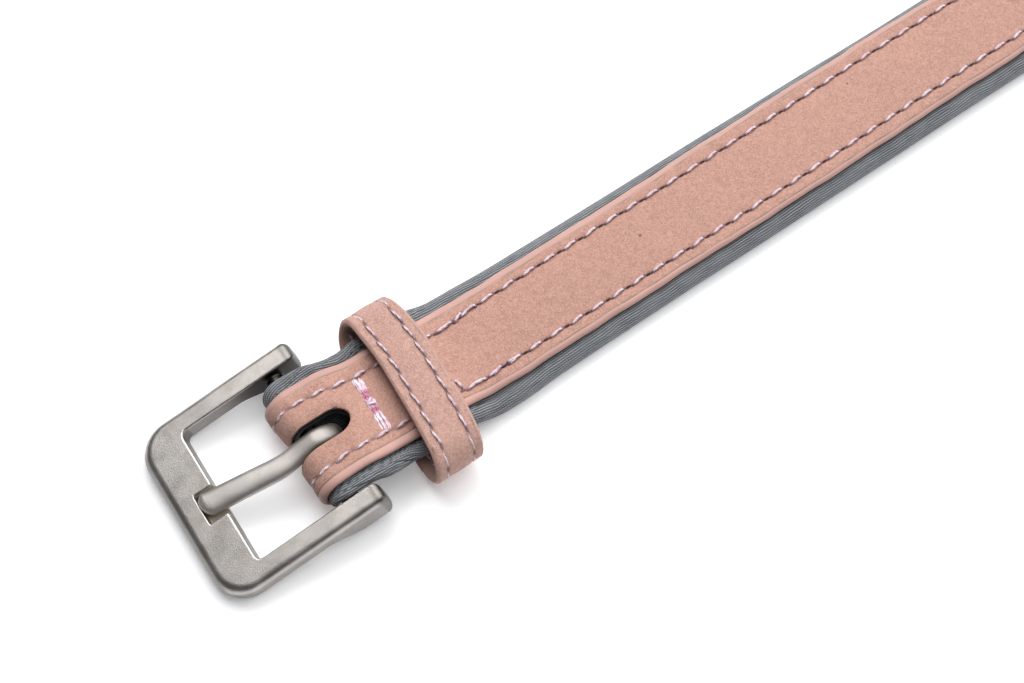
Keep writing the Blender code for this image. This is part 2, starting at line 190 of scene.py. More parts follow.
def colour(name, description, default):
    return FloatVectorProperty(
        name=name, description=description, default=default, size=3, min=0, max=1, subtype="COLOR"
    )


class CollarStrapSizes(bpy.types.PropertyGroup):
    leather_width: length("Leather width", "Width of the leather strip", 16.9 * MM)
    leather_thickness: length("Leather thickness", "Thickness of the leather strip", 1.5 * MM)
    padding_width: length("Lining width", "Width of the padded lining", 22.1 * MM)
    edge_band: length("Edge band", "Width of the smooth turned edge", 1.4 * MM)
    hole_diameter: length("Hole", "Diameter of the holes in the tail", 4.2 * MM)
    hole_pitch: length("Hole pitch", "Distance between the holes in the tail", 20.0 * MM)
    first_hole: length("First hole", "Distance of the last hole from the tip", 30.0 * MM)
    hole_count: IntProperty(
        name="Holes", description="Number of holes in the tail", default=5, min=1
    )


class CollarBuckleSizes(bpy.types.PropertyGroup):
    bar_radius: length("Bar radius", "Radius of the bar inside the fold", 1.5 * MM)
    window_width: length("Window width", "Inner width between the arms", 25.026 * MM)
    arm_width: length("Arm width", "Width of each arm seen from above", 3.6 * MM)
    front_width: length("Front width", "Width of the front bar", 7.65 * MM)
    frame_reach: length("Reach", "Distance of the front edge from the bar", 24.3 * MM)
    frame_thickness: length("Thickness", "Thickness of the front bar", 3.6 * MM)
    arm_end_depth: length("Arm end depth", "Depth of the arms at the bar", 6.0 * MM)
    prong_width: length("Prong width", "Width of the prong", 3.9 * MM)
    prong_thickness: length("Prong thickness", "Thickness of the prong", 2.3 * MM)
    grain: length("Remesh grain", "Grain of the cast surface's mesh", 0.15 * MM)


class CollarKeeperSizes(bpy.types.PropertyGroup):
    width: length("Width", "Width of the band", 8.6 * MM)
    thickness: length("Thickness", "Thickness of the band", 1.3 * MM)
    place: length("Place", "Distance of the band from the bar", 16.9 * MM)
    lean: length("Lean", "How far the top run stands nearer the tail than the lower run", 2.1 * MM)
    row_inset: length("Row inset", "Distance of each stitch row from the band's edge", 1.9 * MM)


class CollarStitchSizes(bpy.types.PropertyGroup):
    inset: length("Inset", "Distance of the row from the edge round the tip", 2.65 * MM)
    pitch: length("Pitch", "Distance between stitch holes along the strap", 4.122 * MM)
    near_pitch: length("Near pitch", "Distance between stitch holes on the near row", 4.0 * MM)
    fold_pitch: length("Fold pitch", "Distance between stitch holes round the fold", 3.58 * MM)
    keeper_pitch: length("Keeper pitch", "Distance between stitch holes on the keeper", 3.5 * MM)
    thread: length("Thread", "Thickness of the thread", 0.55 * MM)
    seed: IntProperty(name="Seed", description="Seed of the stitches' small turns", default=7)


class CollarColours(bpy.types.PropertyGroup):
    nubuck: colour("Nubuck", "Colour of the brushed leather", (0.512, 0.292, 0.234))
    keeper: colour("Keeper", "Colour of the keeper's leather", (0.545, 0.330, 0.276))
    edge: colour("Edge", "Colour of the smooth turned edges", (0.590, 0.350, 0.300))
    lining: colour("Lining", "Colour of the knitted lining", (0.206, 0.217, 0.232))
    metal: colour("Metal", "Colour of the cast metal", (0.350, 0.328, 0.312))
    recess: colour("Recess", "Colour of the bare recess under the prong", (0.780, 0.690, 0.560))
    thread: colour("Thread", "Colour of the thread", (0.700, 0.360, 0.500))


def panel_values(group):
    return getattr(bpy.context.scene, "collar_" + group)


# Shapes in numbers


def table_at(table, places):
    """Every named column of a table at many places, smooth and without overshoot."""
    names, *rows = table
    table = np.array(rows, float)
    starts = table[:, 0]
    spans = np.diff(starts)
    steps = np.diff(table, axis=0) / spans[:, None]
    before, after = steps[:-1], steps[1:]
    total = np.where(before * after > 0, before + after, 1.0)
    inner = np.where(before * after > 0, 2 * before * after / total, 0.0)
    slopes = np.vstack([steps[:1], inner, steps[-1:]])
    places = np.clip(places, starts[0], starts[-1])
    i = np.clip(np.searchsorted(starts, places, side="right") - 1, 0, len(spans) - 1)
    t = ((places - starts[i]) / spans[i])[:, None]
    span = spans[i][:, None]
    values = (
        table[i] * (1 + 2 * t) * (1 - t) ** 2
        + slopes[i] * span * t * (1 - t) ** 2
        + table[i + 1] * t * t * (3 - 2 * t)
        + slopes[i + 1] * span * t * t * (t - 1)
    )
    return dict(zip(names.split(), values.T))


def smooth_step(low, high, value):
    t = np.clip((value - low) / (high - low), 0, 1)
    return t * t * (3 - 2 * t)


def bell(value, width):
    return np.exp(-((value / width) ** 2))


def waves(seed, first, second, count=5, spread=math.pi):
    """Smooth seeded ripple over two coordinates that are already divided by their own lengths."""
    random = np.random.default_rng(seed)
    total = np.zeros(np.broadcast(first, second).shape)
    for _ in range(count):
        turn = math.pi / 2 + random.uniform(-spread, spread)
        pace = random.uniform(0.6, 1.7)
        total = total + np.sin(
            2 * math.pi * pace * (first * math.cos(turn) + second * math.sin(turn))
            + random.uniform(0, 2 * math.pi)
        )
    return total / math.sqrt(count)


def strap_profile(x):
    """Heights over the bar's axis and half widths of the strap's upper run at many x."""
    strap = panel_values("strap")
    rise = table_at(RISE, x / rise_length)
    tail = table_at(TAIL, (x - (padding_end - tail_slope)) / tail_slope)
    under = (fold_radius + fold_inside) * rise["by_fold"] + keeper_level * rise["by_keeper"]
    middle = padding_thickness * rise["middle"] * tail["middle"]
    skin = (fold_leather + (strap.leather_thickness - fold_leather) * rise["skin"]) * tail["skin"]
    return {
        "under": under - fold_radius,
        "middle": middle,
        "roll": roll_thickness * rise["roll"] * tail["roll"],
        "padding": strap.padding_width * rise["padding"] * tail["padding"] / 2,
        "leather": strap.leather_width * rise["leather"] / 2,
        "shift": frame_side * rise["shift"],
        "seat": under - fold_radius + middle + clearance * tail["lift"],
        "skin": skin,
    }


def leather_half(along, side):
    """Half width of the finished strip towards one side, at places along it."""
    strap = panel_values("strap")
    profile = strap_profile(np.maximum(along, 0))
    thin = np.clip((-along - math.pi * fold_radius) / return_length, 0, 1)
    half = np.where(along < 0, strap.leather_width / 2 * (1.03 - 0.03 * thin), profile["leather"])
    edges = table_at(LEATHER_SIDES, along / MM)
    return half + np.where(side > 0, edges["far"], edges["near"]) * MM


def return_skin(x):
    """Thickness of the leather that returns beneath the strap, at x from the fold."""
    return fold_leather + (return_end_leather - fold_leather) * x / return_length


def row_inset(along, side):
    rows = table_at(LEATHER_SIDES, along / MM)
    return np.where(side > 0, rows["far_row"], rows["near_row"]) * MM


def fold_pinch(points):
    """Draws the fold in towards the bar beside the slot, most of all on its far side."""
    away = np.abs(points[:, 1]) - slot_width / 2
    reach = np.where(points[:, 1] > 0, 0.14, 0.03) * bell(np.maximum(away, 0), 3.2 * MM)
    points[:, 0] = np.where(points[:, 0] < 0, points[:, 0] * (1 - reach), points[:, 0])
    return points


def band_inset(along, side, inset):
    """Distance from the edge, made to run out sooner where the edge's band is narrower."""
    near = 0.50 * smooth_step(17 * MM, 32 * MM, along) + 0.22 * smooth_step(55 * MM, 80 * MM, along)
    far = 0.32 * smooth_step(62 * MM, 84 * MM, along)
    return inset + MM * np.where(side < 0, near, far)


def even_steps(start, end, step):
    """Even values from start to end, no further apart than step."""
    return np.linspace(start, end, max(2, int(math.ceil(abs(end - start) / step)) + 1))


def distance_along(x, angle):
    """Distance along the strip of sections at x that stand at an angle, from the fold on."""
    turned = -np.where(angle > 0.5 * math.pi, (angle - math.pi / 2) * fold_radius, 0)
    return np.where(angle > 1.4 * math.pi, turned - x, turned + x)


def stand(x, angle, across, height):
    """Points of sections that stand on the bar's axis, in the strap's own frame."""
    return np.stack(
        [x + np.cos(angle) * height, across, fold_radius + np.sin(angle) * height], axis=-1
    )


# Meshes


def swept_mesh(name, rings, along=None, around=None, closed=False):
    """Skin over rings of points, each ring closed. along and around are its UV lengths."""
    count, points = rings.shape[:2]
    if along is None:
        along = around = np.zeros((count + 1, points + 1))
    r, k = np.meshgrid(np.arange(count - (not closed)), np.arange(points), indexing="ij")
    after, next_ring = (k + 1) % points, (r + 1) % count
    faces = np.stack(
        [r * points + k, r * points + after, next_ring * points + after, next_ring * points + k],
        axis=-1,
    ).reshape(-1, 4)
    uv = np.stack(
        [
            np.stack([along[r, k], around[r, k]], -1),
            np.stack([along[r, k], around[r, k + 1]], -1),
            np.stack([along[r + 1, k], around[r + 1, k + 1]], -1),
            np.stack([along[r + 1, k], around[r + 1, k]], -1),
        ],
        axis=-2,
    ).reshape(-1, 2)
    corners = faces.ravel().tolist()
    starts = list(range(0, len(corners), 4))
    if not closed:
        for ring in (0, count - 1):
            starts.append(len(corners))
            corners += range(ring * points, (ring + 1) * points)
            uv = np.vstack([uv, np.stack([along[ring, :points], around[ring, :points]], -1)])
    mesh = bpy.data.meshes.new(name)
    mesh.vertices.add(count * points)
    mesh.vertices.foreach_set("co", rings.astype(np.float32).ravel())
    mesh.loops.add(len(corners))
    mesh.loops.foreach_set("vertex_index", corners)
    mesh.polygons.add(len(starts))
    mesh.polygons.foreach_set("loop_start", starts)
    mesh.update(calc_edges=True)
    layer = mesh.uv_layers.new(name="Length")
    layer.data.foreach_set("uv", uv.astype(np.float32).ravel())
    mesh.validate()
    turn_outwards(mesh)
    return mesh


def turn_outwards(mesh):
    shape = bmesh.new()
    shape.from_mesh(mesh)
    bmesh.ops.recalc_face_normals(shape, faces=shape.faces)
    if shape.calc_volume(signed=True) < 0:
        bmesh.ops.reverse_faces(shape, faces=shape.faces)
    shape.to_mesh(mesh)
    shape.free()


def points_of(mesh):
    points = np.empty(len(mesh.vertices) * 3, np.float32)
    mesh.vertices.foreach_get("co", points)
    return points.reshape(-1, 3).astype(float)


def set_points(mesh, points):
    mesh.vertices.foreach_set("co", points.astype(np.float32).ravel())
    mesh.update()


def set_value(mesh, name, values):
    """Stores one number for each point, for a material to read."""
    layer = mesh.attributes.get(name) or mesh.attributes.new(name, "FLOAT", "POINT")
    layer.data.foreach_set("value", np.asarray(values, np.float32).ravel())


def link(name, mesh):
    piece = bpy.data.objects.new(name, mesh)
    bpy.context.scene.collection.objects.link(piece)
    return piece


def bake(piece):
    """A piece's mesh with its modifiers in it, as a new plain mesh; the piece is removed."""
    graph = bpy.context.evaluated_depsgraph_get()
    mesh = bpy.data.meshes.new_from_object(piece.evaluated_get(graph), depsgraph=graph)
    mesh.name = piece.name
    bpy.data.objects.remove(piece, do_unlink=True)
    return mesh


def prism(name, outline, low, high):
    """A straight prism along Z over an outline of (x, y) points."""
    outline = np.array(outline, float)
    rings = np.stack(
        [np.column_stack([outline, np.full(len(outline), z)]) for z in (low, high)]
    )
    return link(name, swept_mesh(name, rings))


def cut(piece, cutters, operation="DIFFERENCE"):
    """Applies exact Booleans to a piece and removes the shapes that it was cut with."""
    for cutter in cutters:
        step = piece.modifiers.new(cutter.name, "BOOLEAN")
        step.operation = operation
        step.solver = "EXACT"
        step.object = cutter
    mesh = bake(piece)
    for cutter in cutters:
        bpy.data.objects.remove(cutter, do_unlink=True)
    return mesh


def arc(centre, radius, start, end, count):
    angles = np.radians(np.linspace(start, end, count))
    return np.stack(
        [centre[0] + radius * np.cos(angles), centre[1] + radius * np.sin(angles)], axis=-1
    )


def finish_piece(name, mesh, body, material, nodes=(), smooth=50.0):
    """Links a finished mesh, shades it, gives it its material and hands it to its body."""
    mesh.shade_smooth()
    if smooth:
        mesh.set_sharp_from_angle(angle=math.radians(smooth))
    mesh.materials.clear()
    mesh.materials.append(material)
    piece = link(name, mesh)
    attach(piece, body)
    if nodes:
        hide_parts(*nodes)
    return piece


# The leather strip


def hole_places(row):
    """Distances along the strip of every stitch hole of the row on one side, from the fold on."""
    stitch = panel_values("stitch")
    random = np.random.default_rng(stitch.seed + (row > 0))
    phase = -1.15 * MM if row > 0 else 0.05 * MM
    pitch = stitch.pitch if row > 0 else stitch.near_pitch
    first = -math.pi * fold_radius - return_length + 3 * MM
    fold = np.arange(math.ceil((first - phase) / stitch.fold_pitch), 5) * stitch.fold_pitch + phase
    fold = fold[fold < 14.5 * MM]
    start = 23.3 * MM
    place = (37.75 if row > 0 else 35.45) * MM
    place -= math.floor((place - start) / pitch) * pitch
    strap = np.arange(place, strap_tip - 8.6 * MM, pitch)
    under_keeper = np.linspace(fold[-1], strap[0], 4)[1:-1]
    holes = np.concatenate([fold, under_keeper, strap])
    return holes + random.normal(0, 0.06 * MM, len(holes))


def leather_stations():
    """x and angle of every section of the strip up to its round tip."""
    back = even_steps(return_length, 0, 0.8 * MM)[:-1]
    turn = np.radians(np.linspace(270, 90, 37))
    rise = even_steps(0, rise_length * 1.8, 0.42 * MM)[1:]
    tip_start = strap_tip - panel_values("strap").leather_width / 2
    rest = even_steps(rise[-1], tip_start, 0.6 * MM)[1:]
    x = np.concatenate([back, np.zeros(len(turn)), rise, rest])
    angle = np.concatenate(
        [np.full(len(back), 1.5 * math.pi), turn, np.full(len(rise) + len(rest), math.pi / 2)]
    )
    return x, angle


def strip_section(half, low, thickness, shoulder, near=None):
    """Across and height of a strip's section, for many sections at once."""
    near = half if near is None else near
    inset = np.array(
        [0, 0.16, 0.34, 0.55, 0.8, 1.0, 1.15, 1.28, 1.36, 1.44, 1.55, 1.75, 2.0, 2.2, 2.4, 2.55]
        + [2.7, 2.85, 3.0, 3.15, 3.3, 3.45, 3.6, 3.75, 3.95, 4.25, 4.8, 5.6, 6.5, 7.5, 8.45]
    )
    inset = inset[inset > shoulder / MM]
    centre = inset[-1]
    turn = np.radians(np.linspace(90, -90, 11))
    rise = low[:, None] + thickness[:, None] / 2 * (1 + np.sin(turn)[None, :])
    top = np.repeat((low + thickness)[:, None], len(inset), 1)
    bottom = np.repeat(low[:, None], 4, 1)
    sides = []
    for edge in (half, near):
        flat = edge[:, None] * (1 - inset[::-1][None, :] / centre)
        bend = edge[:, None] - shoulder + shoulder * np.cos(turn)[None, :]
        below = (edge - shoulder)[:, None] * np.array([0.75, 0.5, 0.25, 0.0])[None, :]
        sides.append(np.concatenate([flat, bend, below], 1))
    height = np.concatenate([top, rise, bottom], 1)
    across = np.concatenate([sides[0], -sides[1][:, -2:0:-1]], 1)
    height = np.concatenate([height, height[:, -2:0:-1]], 1)
    return across, height


def strip_coordinates(points):
    """Distance along the strip, height over its middle, direction out and inset from its edge."""
    strap = panel_values("strap")
    x, y, z = points[:, 0], points[:, 1], points[:, 2]
    high = z - fold_radius
    folded = x < 0
    under = (x >= 0) & (x <= return_length + MM) & (high < -1.5 * MM)
    angle = np.where(folded, np.arctan2(high, np.minimum(x, -1e-9)), math.pi / 2)
    angle = np.where(angle < 0, angle + 2 * math.pi, angle)
    angle = np.where(under, 1.5 * math.pi, angle)
    profile = strap_profile(np.maximum(x, 0))
    skin = np.where(under, return_skin(np.clip(x, 0, return_length)), profile["skin"])
    skin = np.where(folded, fold_leather, skin)
    seat = np.where(under, fold_radius - skin, profile["seat"])
    seat = np.where(folded, fold_seat, seat)
    out = np.stack([np.cos(angle), np.zeros_like(x), np.sin(angle)], -1)
    height = np.where(folded, np.hypot(x, high), np.where(under, -high, high))
    lift = (height - seat - skin / 2) / (skin / 2)
    along = np.where(folded, -(angle - math.pi / 2) * fold_radius, x)
    along = np.where(under, -math.pi * fold_radius - x, along)
    half = leather_half(along, y)
    tip = strap.leather_width / 2
    inset = half - np.abs(y)
    round_end = x > strap_tip - tip
    inset = np.where(round_end, tip - np.hypot(x - (strap_tip - tip), y), inset)
    end = np.where(under, return_length - x, 1.0)
    return along, lift, out, np.minimum(inset, end), skin


def tip_turns():
    """Centre of the round tip, reach of its stitch row and the turns of the row's holes."""
    strap, stitch = panel_values("strap"), panel_values("stitch")
    tip = strap.leather_width / 2
    reach = tip - stitch.inset
    count = int(round(math.pi * reach / stitch.pitch)) + 1
    return strap_tip - tip, reach, np.linspace(-math.pi / 2, math.pi / 2, count + 1)


def hole_phase(along, side):
    """Counts the stitch holes back from the tip, so that every hole sits at a whole number."""
    phase = np.zeros_like(along)
    centre, reach, turns = tip_turns()
    round_end = centre + reach * np.arctan2(along - centre, np.abs(side))
    walk = np.where(along > centre, round_end, along)
    for row in (-1, 1):
        holes = hole_places(row)
        holes = np.concatenate([holes, centre + reach * (turns[1:-1] + math.pi / 2)])
        steps = np.arange(len(holes)) - float(len(holes))
        chosen = (side > 0) if row > 0 else (side <= 0)
        phase = np.where(chosen, np.interp(walk, holes, steps), phase)
    return phase


def slot_cutter(name, reach, grow=0.0, low=-cutter_over, high=2 * fold_radius + cutter_over):
    half = slot_width / 2 + grow
    outline = arc((0, 0), half, -90, 90, 33)
    outline[:, 0] = outline[:, 0] * slot_round / half + reach - slot_round
    outline = outline.tolist()
    outline += [[-fold_radius - cutter_over, half], [-fold_radius - cutter_over, -half]]
    return prism(name, outline, low, high)


def slot_distance(points):
    """Distance from the slot's outline, seen from above."""
    half = slot_width / 2
    x = (points[:, 0] - (slot_reach - slot_round)) * half / slot_round
    return np.where(x < 0, np.abs(points[:, 1]), np.hypot(x, points[:, 1])) - half


def rounded_over(distance, reach):
    """How far a surface sinks towards an edge that is rounded over from reach on."""
    distance = np.clip(distance, 0, reach)
    return reach - np.sqrt(np.maximum(reach**2 - (reach - distance) ** 2, 0))


def tooled(points):
    """Presses the crease, the stitch rows and the cut edges into the strip's plain surface."""
    strap = panel_values("strap")
    along, lift, out, inset, skin = strip_coordinates(points)
    outer = smooth_step(-0.2, 0.9, lift)
    inner = smooth_step(-0.2, 0.9, -lift)
    phase = hole_phase(along, points[:, 1])
    near = np.abs(phase - np.round(phase))
    row = row_inset(along, points[:, 1])
    pulled = 0.10 + 0.14 * bell(near, 0.16)
    depth = pulled * MM * bell(inset - row, 0.42 * MM)
    depth += 0.10 * MM * bell(band_inset(along, points[:, 1], inset) - strap.edge_band, 0.14 * MM)
    puff = np.clip((inset - row) / (strap.leather_width / 2 - row), 0, 1)
    rise = 0.22 * MM * np.sin(puff * math.pi / 2) * smooth_step(0, 0.4, puff)
    ripple = waves(11, along / (9 * MM), points[:, 1] / (7 * MM)) * 0.035 * MM
    edge_wave = waves(12, along / (11 * MM), np.sign(points[:, 1]) * 3.1) * 0.07 * MM
    soft = 0.42 * MM
    near_slot = along > -math.pi * fold_radius - 2 * slot_reach
    near_slot &= points[:, 0] < slot_reach + soft
    round_over = np.where(near_slot, rounded_over(slot_distance(points), soft), 0)
    for hole in tail_holes():
        away = np.hypot(points[:, 0] - hole, points[:, 1]) - strap.hole_diameter / 2
        round_over = np.maximum(round_over, 0.7 * rounded_over(away, soft))
    move = outer * (rise + ripple - depth - round_over) + inner * 0.7 * round_over
    move = np.where(lift > 0, np.maximum(move, -0.45 * skin), move)
    points = points + out * move[:, None]
    points[:, 1] += np.sign(points[:, 1]) * edge_wave * smooth_step(3 * MM, 0.5 * MM, inset)
    return points


def tail_holes():
    strap = panel_values("strap")
    return [strap_tip - strap.first_hole - strap.hole_pitch * k for k in range(strap.hole_count)]


def leather_mesh():
    strap = panel_values("strap")
    x, angle = leather_stations()
    profile = strap_profile(x)
    under, fold = angle > 1.4 * math.pi, (angle > 0.501 * math.pi)
    skin = np.where(fold, fold_leather, profile["skin"])
    skin = np.where(under, return_skin(x), skin)
    along = distance_along(x, angle)
    half, near = leather_half(along, 1), leather_half(along, -1)
    low = np.where(fold, fold_seat, profile["seat"])
    low = np.where(under, fold_radius - skin, low)
    tip_round, tip_flat = strap.leather_width / 2, strap.leather_thickness
    turn = np.radians(np.linspace(0, 90, 26))[1:]
    last = strap_profile(np.array([strap_tip]))
    x = np.concatenate([x, strap_tip - tip_round * (1 - np.sin(turn))])
    angle = np.concatenate([angle, np.full(len(turn), math.pi / 2)])
    tip = tip_flat + (tip_round - tip_flat) * np.cos(turn)
    half, near = np.concatenate([half, tip]), np.concatenate([near, tip])
    low = np.concatenate([low, np.full(len(turn), last["seat"][0])])
    skin = np.concatenate([skin, np.full(len(turn), last["skin"][0])])
    across, height = strip_section(half, low, skin, 0.8 * MM, near)
    rings = stand(x[:, None], angle[:, None], across, height)
    girth = np.concatenate([across, across[:, :1]], 1)
    along = np.repeat(distance_along(x, angle)[:, None], girth.shape[1], 1)
    piece = link("strap_leather_skin", swept_mesh("strap_leather_skin", rings, along, girth))
    cutters = [slot_cutter("slot_shape", slot_reach)]
    for k, hole in enumerate(tail_holes()):
        outline = arc((hole, 0), strap.hole_diameter / 2, 0, 360, 41)[:-1]
        cutters.append(prism(f"tail_hole_{k}", outline, -cutter_over, cutter_over))
    mesh = cut(piece, cutters)
    points = points_of(mesh)
    along, lift, _, inset, _ = strip_coordinates(points)
    side = points[:, 1].copy()
    cut_wall = np.abs(slot_distance(points))
    for hole in tail_holes():
        wall = np.abs(np.hypot(points[:, 0] - hole, side) - strap.hole_diameter / 2)
        cut_wall = np.minimum(cut_wall, wall)
    set_points(mesh, fold_pinch(tooled(points)) + np.array(strap_origin))
    set_value(mesh, "inset", np.clip(band_inset(along, side, inset), 0, 1))
    set_value(mesh, "row", inset - row_inset(along, side))
    set_value(mesh, "hole_count", hole_phase(along, side))
    set_value(mesh, "outer", smooth_step(-0.3, 0.3, lift))
    # Painted shade stored as cut: slot and hole walls, and the return's inner face by the slot
    wall = (1 - smooth_step(0.02 * MM, 0.12 * MM, cut_wall)) * smooth_step(0.75, 0.45, lift)
    inside = (along < -2 * fold_radius) & (slot_distance(points) < 3 * MM)
    set_value(mesh, "cut", np.maximum(wall, inside * smooth_step(0.4, 0.0, lift)))
    # How dark the needle holes are painted in shade along the strip
    set_value(mesh, "needle", smooth_step(16 * MM, 30 * MM, along) * 0.70 + 0.25)
    return mesh


# The padded lining


def lining_section(profile):
    """Across, height and girth of the lining's section: a flat middle and a roll each side."""
    low, middle = profile["under"][:, None], profile["middle"][:, None]
    radius = profile["roll"][:, None] / 2
    half = profile["padding"][:, None]
    foot = profile["leather"][:, None] + 0.05 * MM
    crest = half - radius
    inner = foot * np.array([0.0, 0.35, 0.7, 0.9, 0.97])[None, :]
    inner_height = np.repeat(low + middle, 5, 1)
    climb = np.linspace(0, 1, 7)[None, :]
    hill = foot + (crest - foot) * climb
    hill_height = low + middle + (2 * radius - middle) * (climb * climb * (3 - 2 * climb))
    turn = np.radians(np.linspace(90, -90, 22))[None, 1:]
    bulge = crest + radius * np.cos(turn)
    bulge_height = low + radius * (1 + np.sin(turn))
    beneath = crest * np.array([0.9, 0.6, 0.3, 0.0])[None, :]
    across = np.concatenate([inner, hill, bulge, beneath], 1)
    height = np.concatenate([inner_height, hill_height, bulge_height, np.repeat(low, 4, 1)], 1)
    across = np.concatenate([across, -across[:, -2:0:-1]], 1)
    height = np.concatenate([height, height[:, -2:0:-1]], 1)
    return across, height


def lining_mesh():
    back = even_steps(return_padding_length, 0, 0.5 * MM)[:-1]
    turn = np.radians(np.linspace(270, 90, 43))
    rise = even_steps(0, rise_length * 1.8, 0.35 * MM)[1:]
    rest = even_steps(rise[-1], padding_end, 0.9 * MM)[1:]
    x = np.concatenate([back, np.zeros(len(turn)), rise, rest])
    angle = np.full(len(x), math.pi / 2)
    angle[: len(back)] = 1.5 * math.pi
    angle[len(back) : len(back) + len(turn)] = turn
    profile = strap_profile(x)
    fold = np.arange(len(x)) < len(back) + len(turn)
    zero = strap_profile(np.array([0.0]))
    for name in profile:
        profile[name] = np.where(fold, zero[name][0], profile[name])
    thinner = 1 - return_padding_thin * x / return_padding_length
    thin = np.where(np.arange(len(x)) < len(back), thinner, 1)
    along = distance_along(x, angle)
    sides = table_at(LINING_SIDES, along / MM)
    full_middle = profile["middle"].copy()
    profile["middle"] = profile["middle"] * thin
    profile["roll"] = profile["roll"] * thin * sides["roll"]
    under = np.where(fold, fold_inside, profile["under"])
    profile["under"] = under + full_middle - profile["middle"]
    across, height = lining_section(profile)
    extra = np.where(across > 0, sides["far"][:, None], sides["near"][:, None]) * MM
    foot = profile["leather"][:, None] * 0.6
    crest = (profile["padding"] - profile["roll"] / 2)[:, None]
    across = across + np.sign(across) * extra * smooth_step(foot, crest, np.abs(across))
    step_across = np.diff(across, axis=1, append=across[:, :1])
    step_up = np.diff(height, axis=1, append=height[:, :1])
    steps = np.hypot(step_across, step_up)
    girth = np.concatenate([np.zeros((len(x), 1)), np.cumsum(steps, 1)], 1)
    girth = girth - girth[:, -1:] / 2
    side = np.sign(across) * (np.abs(across) > profile["leather"][:, None] * 0.8)
    about = girth[:, :-1]
    far = along[:, None]
    calm = 0.12 + 0.88 * bell(far - 12 * MM, 24 * MM)
    fan = about * (1 + 0.25 * np.tanh((far - 8 * MM) / (10 * MM)))
    flute = waves(21, far / (15 * MM), fan / (1.15 * MM) + side * 5.3, 8, 0.75)
    fine = waves(24, far / (9 * MM), fan / (0.62 * MM) + side * 3.7, 9, 0.55)
    crease = np.maximum(flute - 0.30, 0) * 0.15 + np.maximum(fine - 0.10, 0) * 0.90
    pucker = waves(22, far / (3.4 * MM), about / (5 * MM) + side * 2.7, 5) * 0.012 * MM
    slack = waves(23, far / (14 * MM), about / (9 * MM) + side * 1.9, 4) * 0.03 * MM
    swell = side * side * calm * (pucker + slack - crease * 0.12 * MM)
    middle = (profile["under"] + profile["roll"] / 2)[:, None]
    direction = np.stack([across - np.sign(across) * crest, height - middle], -1)
    direction /= np.maximum(np.linalg.norm(direction, axis=-1, keepdims=True), 1e-6)
    across = across + direction[..., 0] * swell
    height = height + direction[..., 1] * swell
    height = np.where(angle[:, None] == math.pi / 2, np.maximum(height, -fold_radius), height)
    across = across + profile["shift"][:, None]
    rings = stand(x[:, None], angle[:, None], across, height) + np.array(strap_origin)
    piece = link("lining", swept_mesh("lining", rings, np.repeat(far, girth.shape[1], 1), girth))
    # Depth of the creases, which the lining's material paints in shade
    set_value(piece.data, "crease", np.clip(crease * calm * side * side, 0, 1))
    cutters = [
        slot_cutter("slot_over_bar", slot_reach, 0.12 * MM, fold_radius),
        slot_cutter("slot_under_bar", under_slot_reach, 0.12 * MM, high=fold_radius + MM),
    ]
    for cutter in cutters:
        cutter.location = strap_origin
    bpy.context.view_layer.update()
    mesh = cut(piece, cutters)
    points = fold_pinch(points_of(mesh) - np.array(strap_origin))
    set_points(mesh, points + np.array(strap_origin))
    # Painted shade stored as cut: near black lining round the slot
    set_value(mesh, "cut", smooth_step(2.2 * MM, 1.4 * MM, slot_distance(points)))
    return mesh


# The buckle


def frame_place():
    """Where the frame and the prong stand: turned about the bar until the front bar rests."""
    buckle = panel_values("buckle")
    along = buckle.frame_reach - under_round
    below = buckle.frame_thickness - buckle.arm_end_depth / 2 - under_round
    drop = (fold_radius - under_round) / math.hypot(along, below)
    tilt = math.asin(drop) - math.atan2(below, along)
    turn = math.atan2(frame["joints"][0]["axis"][0], frame["joints"][0]["axis"][1])
    return Matrix.Translation(bar) @ Euler((0, -tilt, -turn)).to_matrix().to_4x4()


def frame_ring(inner, outer, depth, inset):
    buckle = panel_values("buckle")
    inner, outer = np.array(inner), np.array(outer)
    width = np.linalg.norm(outer - inner)
    across = (outer - inner) / width
    width -= 2 * inset
    start = inner + across * inset
    frame_top = buckle.arm_end_depth / 2
    top, low = frame_top - inset, frame_top - depth + inset
    shrink = 1 - inset / (1.2 * MM) * 0.6
    lying = abs(across[0])
    wide, crown = (1.05 + 0.75 * lying) * MM * shrink, (1.4 + 0.3 * lying) * MM * shrink
    edge, under = 0.25 * MM * shrink, under_round * shrink
    shoulder = arc((0, 0), 1.0, 90, 0, 13) * (wide, crown) + (width - wide, top - crown)
    section = np.concatenate(
        [
            arc((edge, top - edge), edge, 180, 90, 5),
            np.linspace((edge, top), (width - wide, top), 8)[1:-1],
            shoulder,
            arc((width - under, low + under), under, 0, -90, 6),
            np.linspace((width - under, low), (edge, low), 8)[1:-1],
            arc((edge, low + edge), edge, -90, -180, 4),
        ]
    )
    flat = start[None, :] + across[None, :] * section[:, :1]
    return np.column_stack([flat, section[:, 1]])


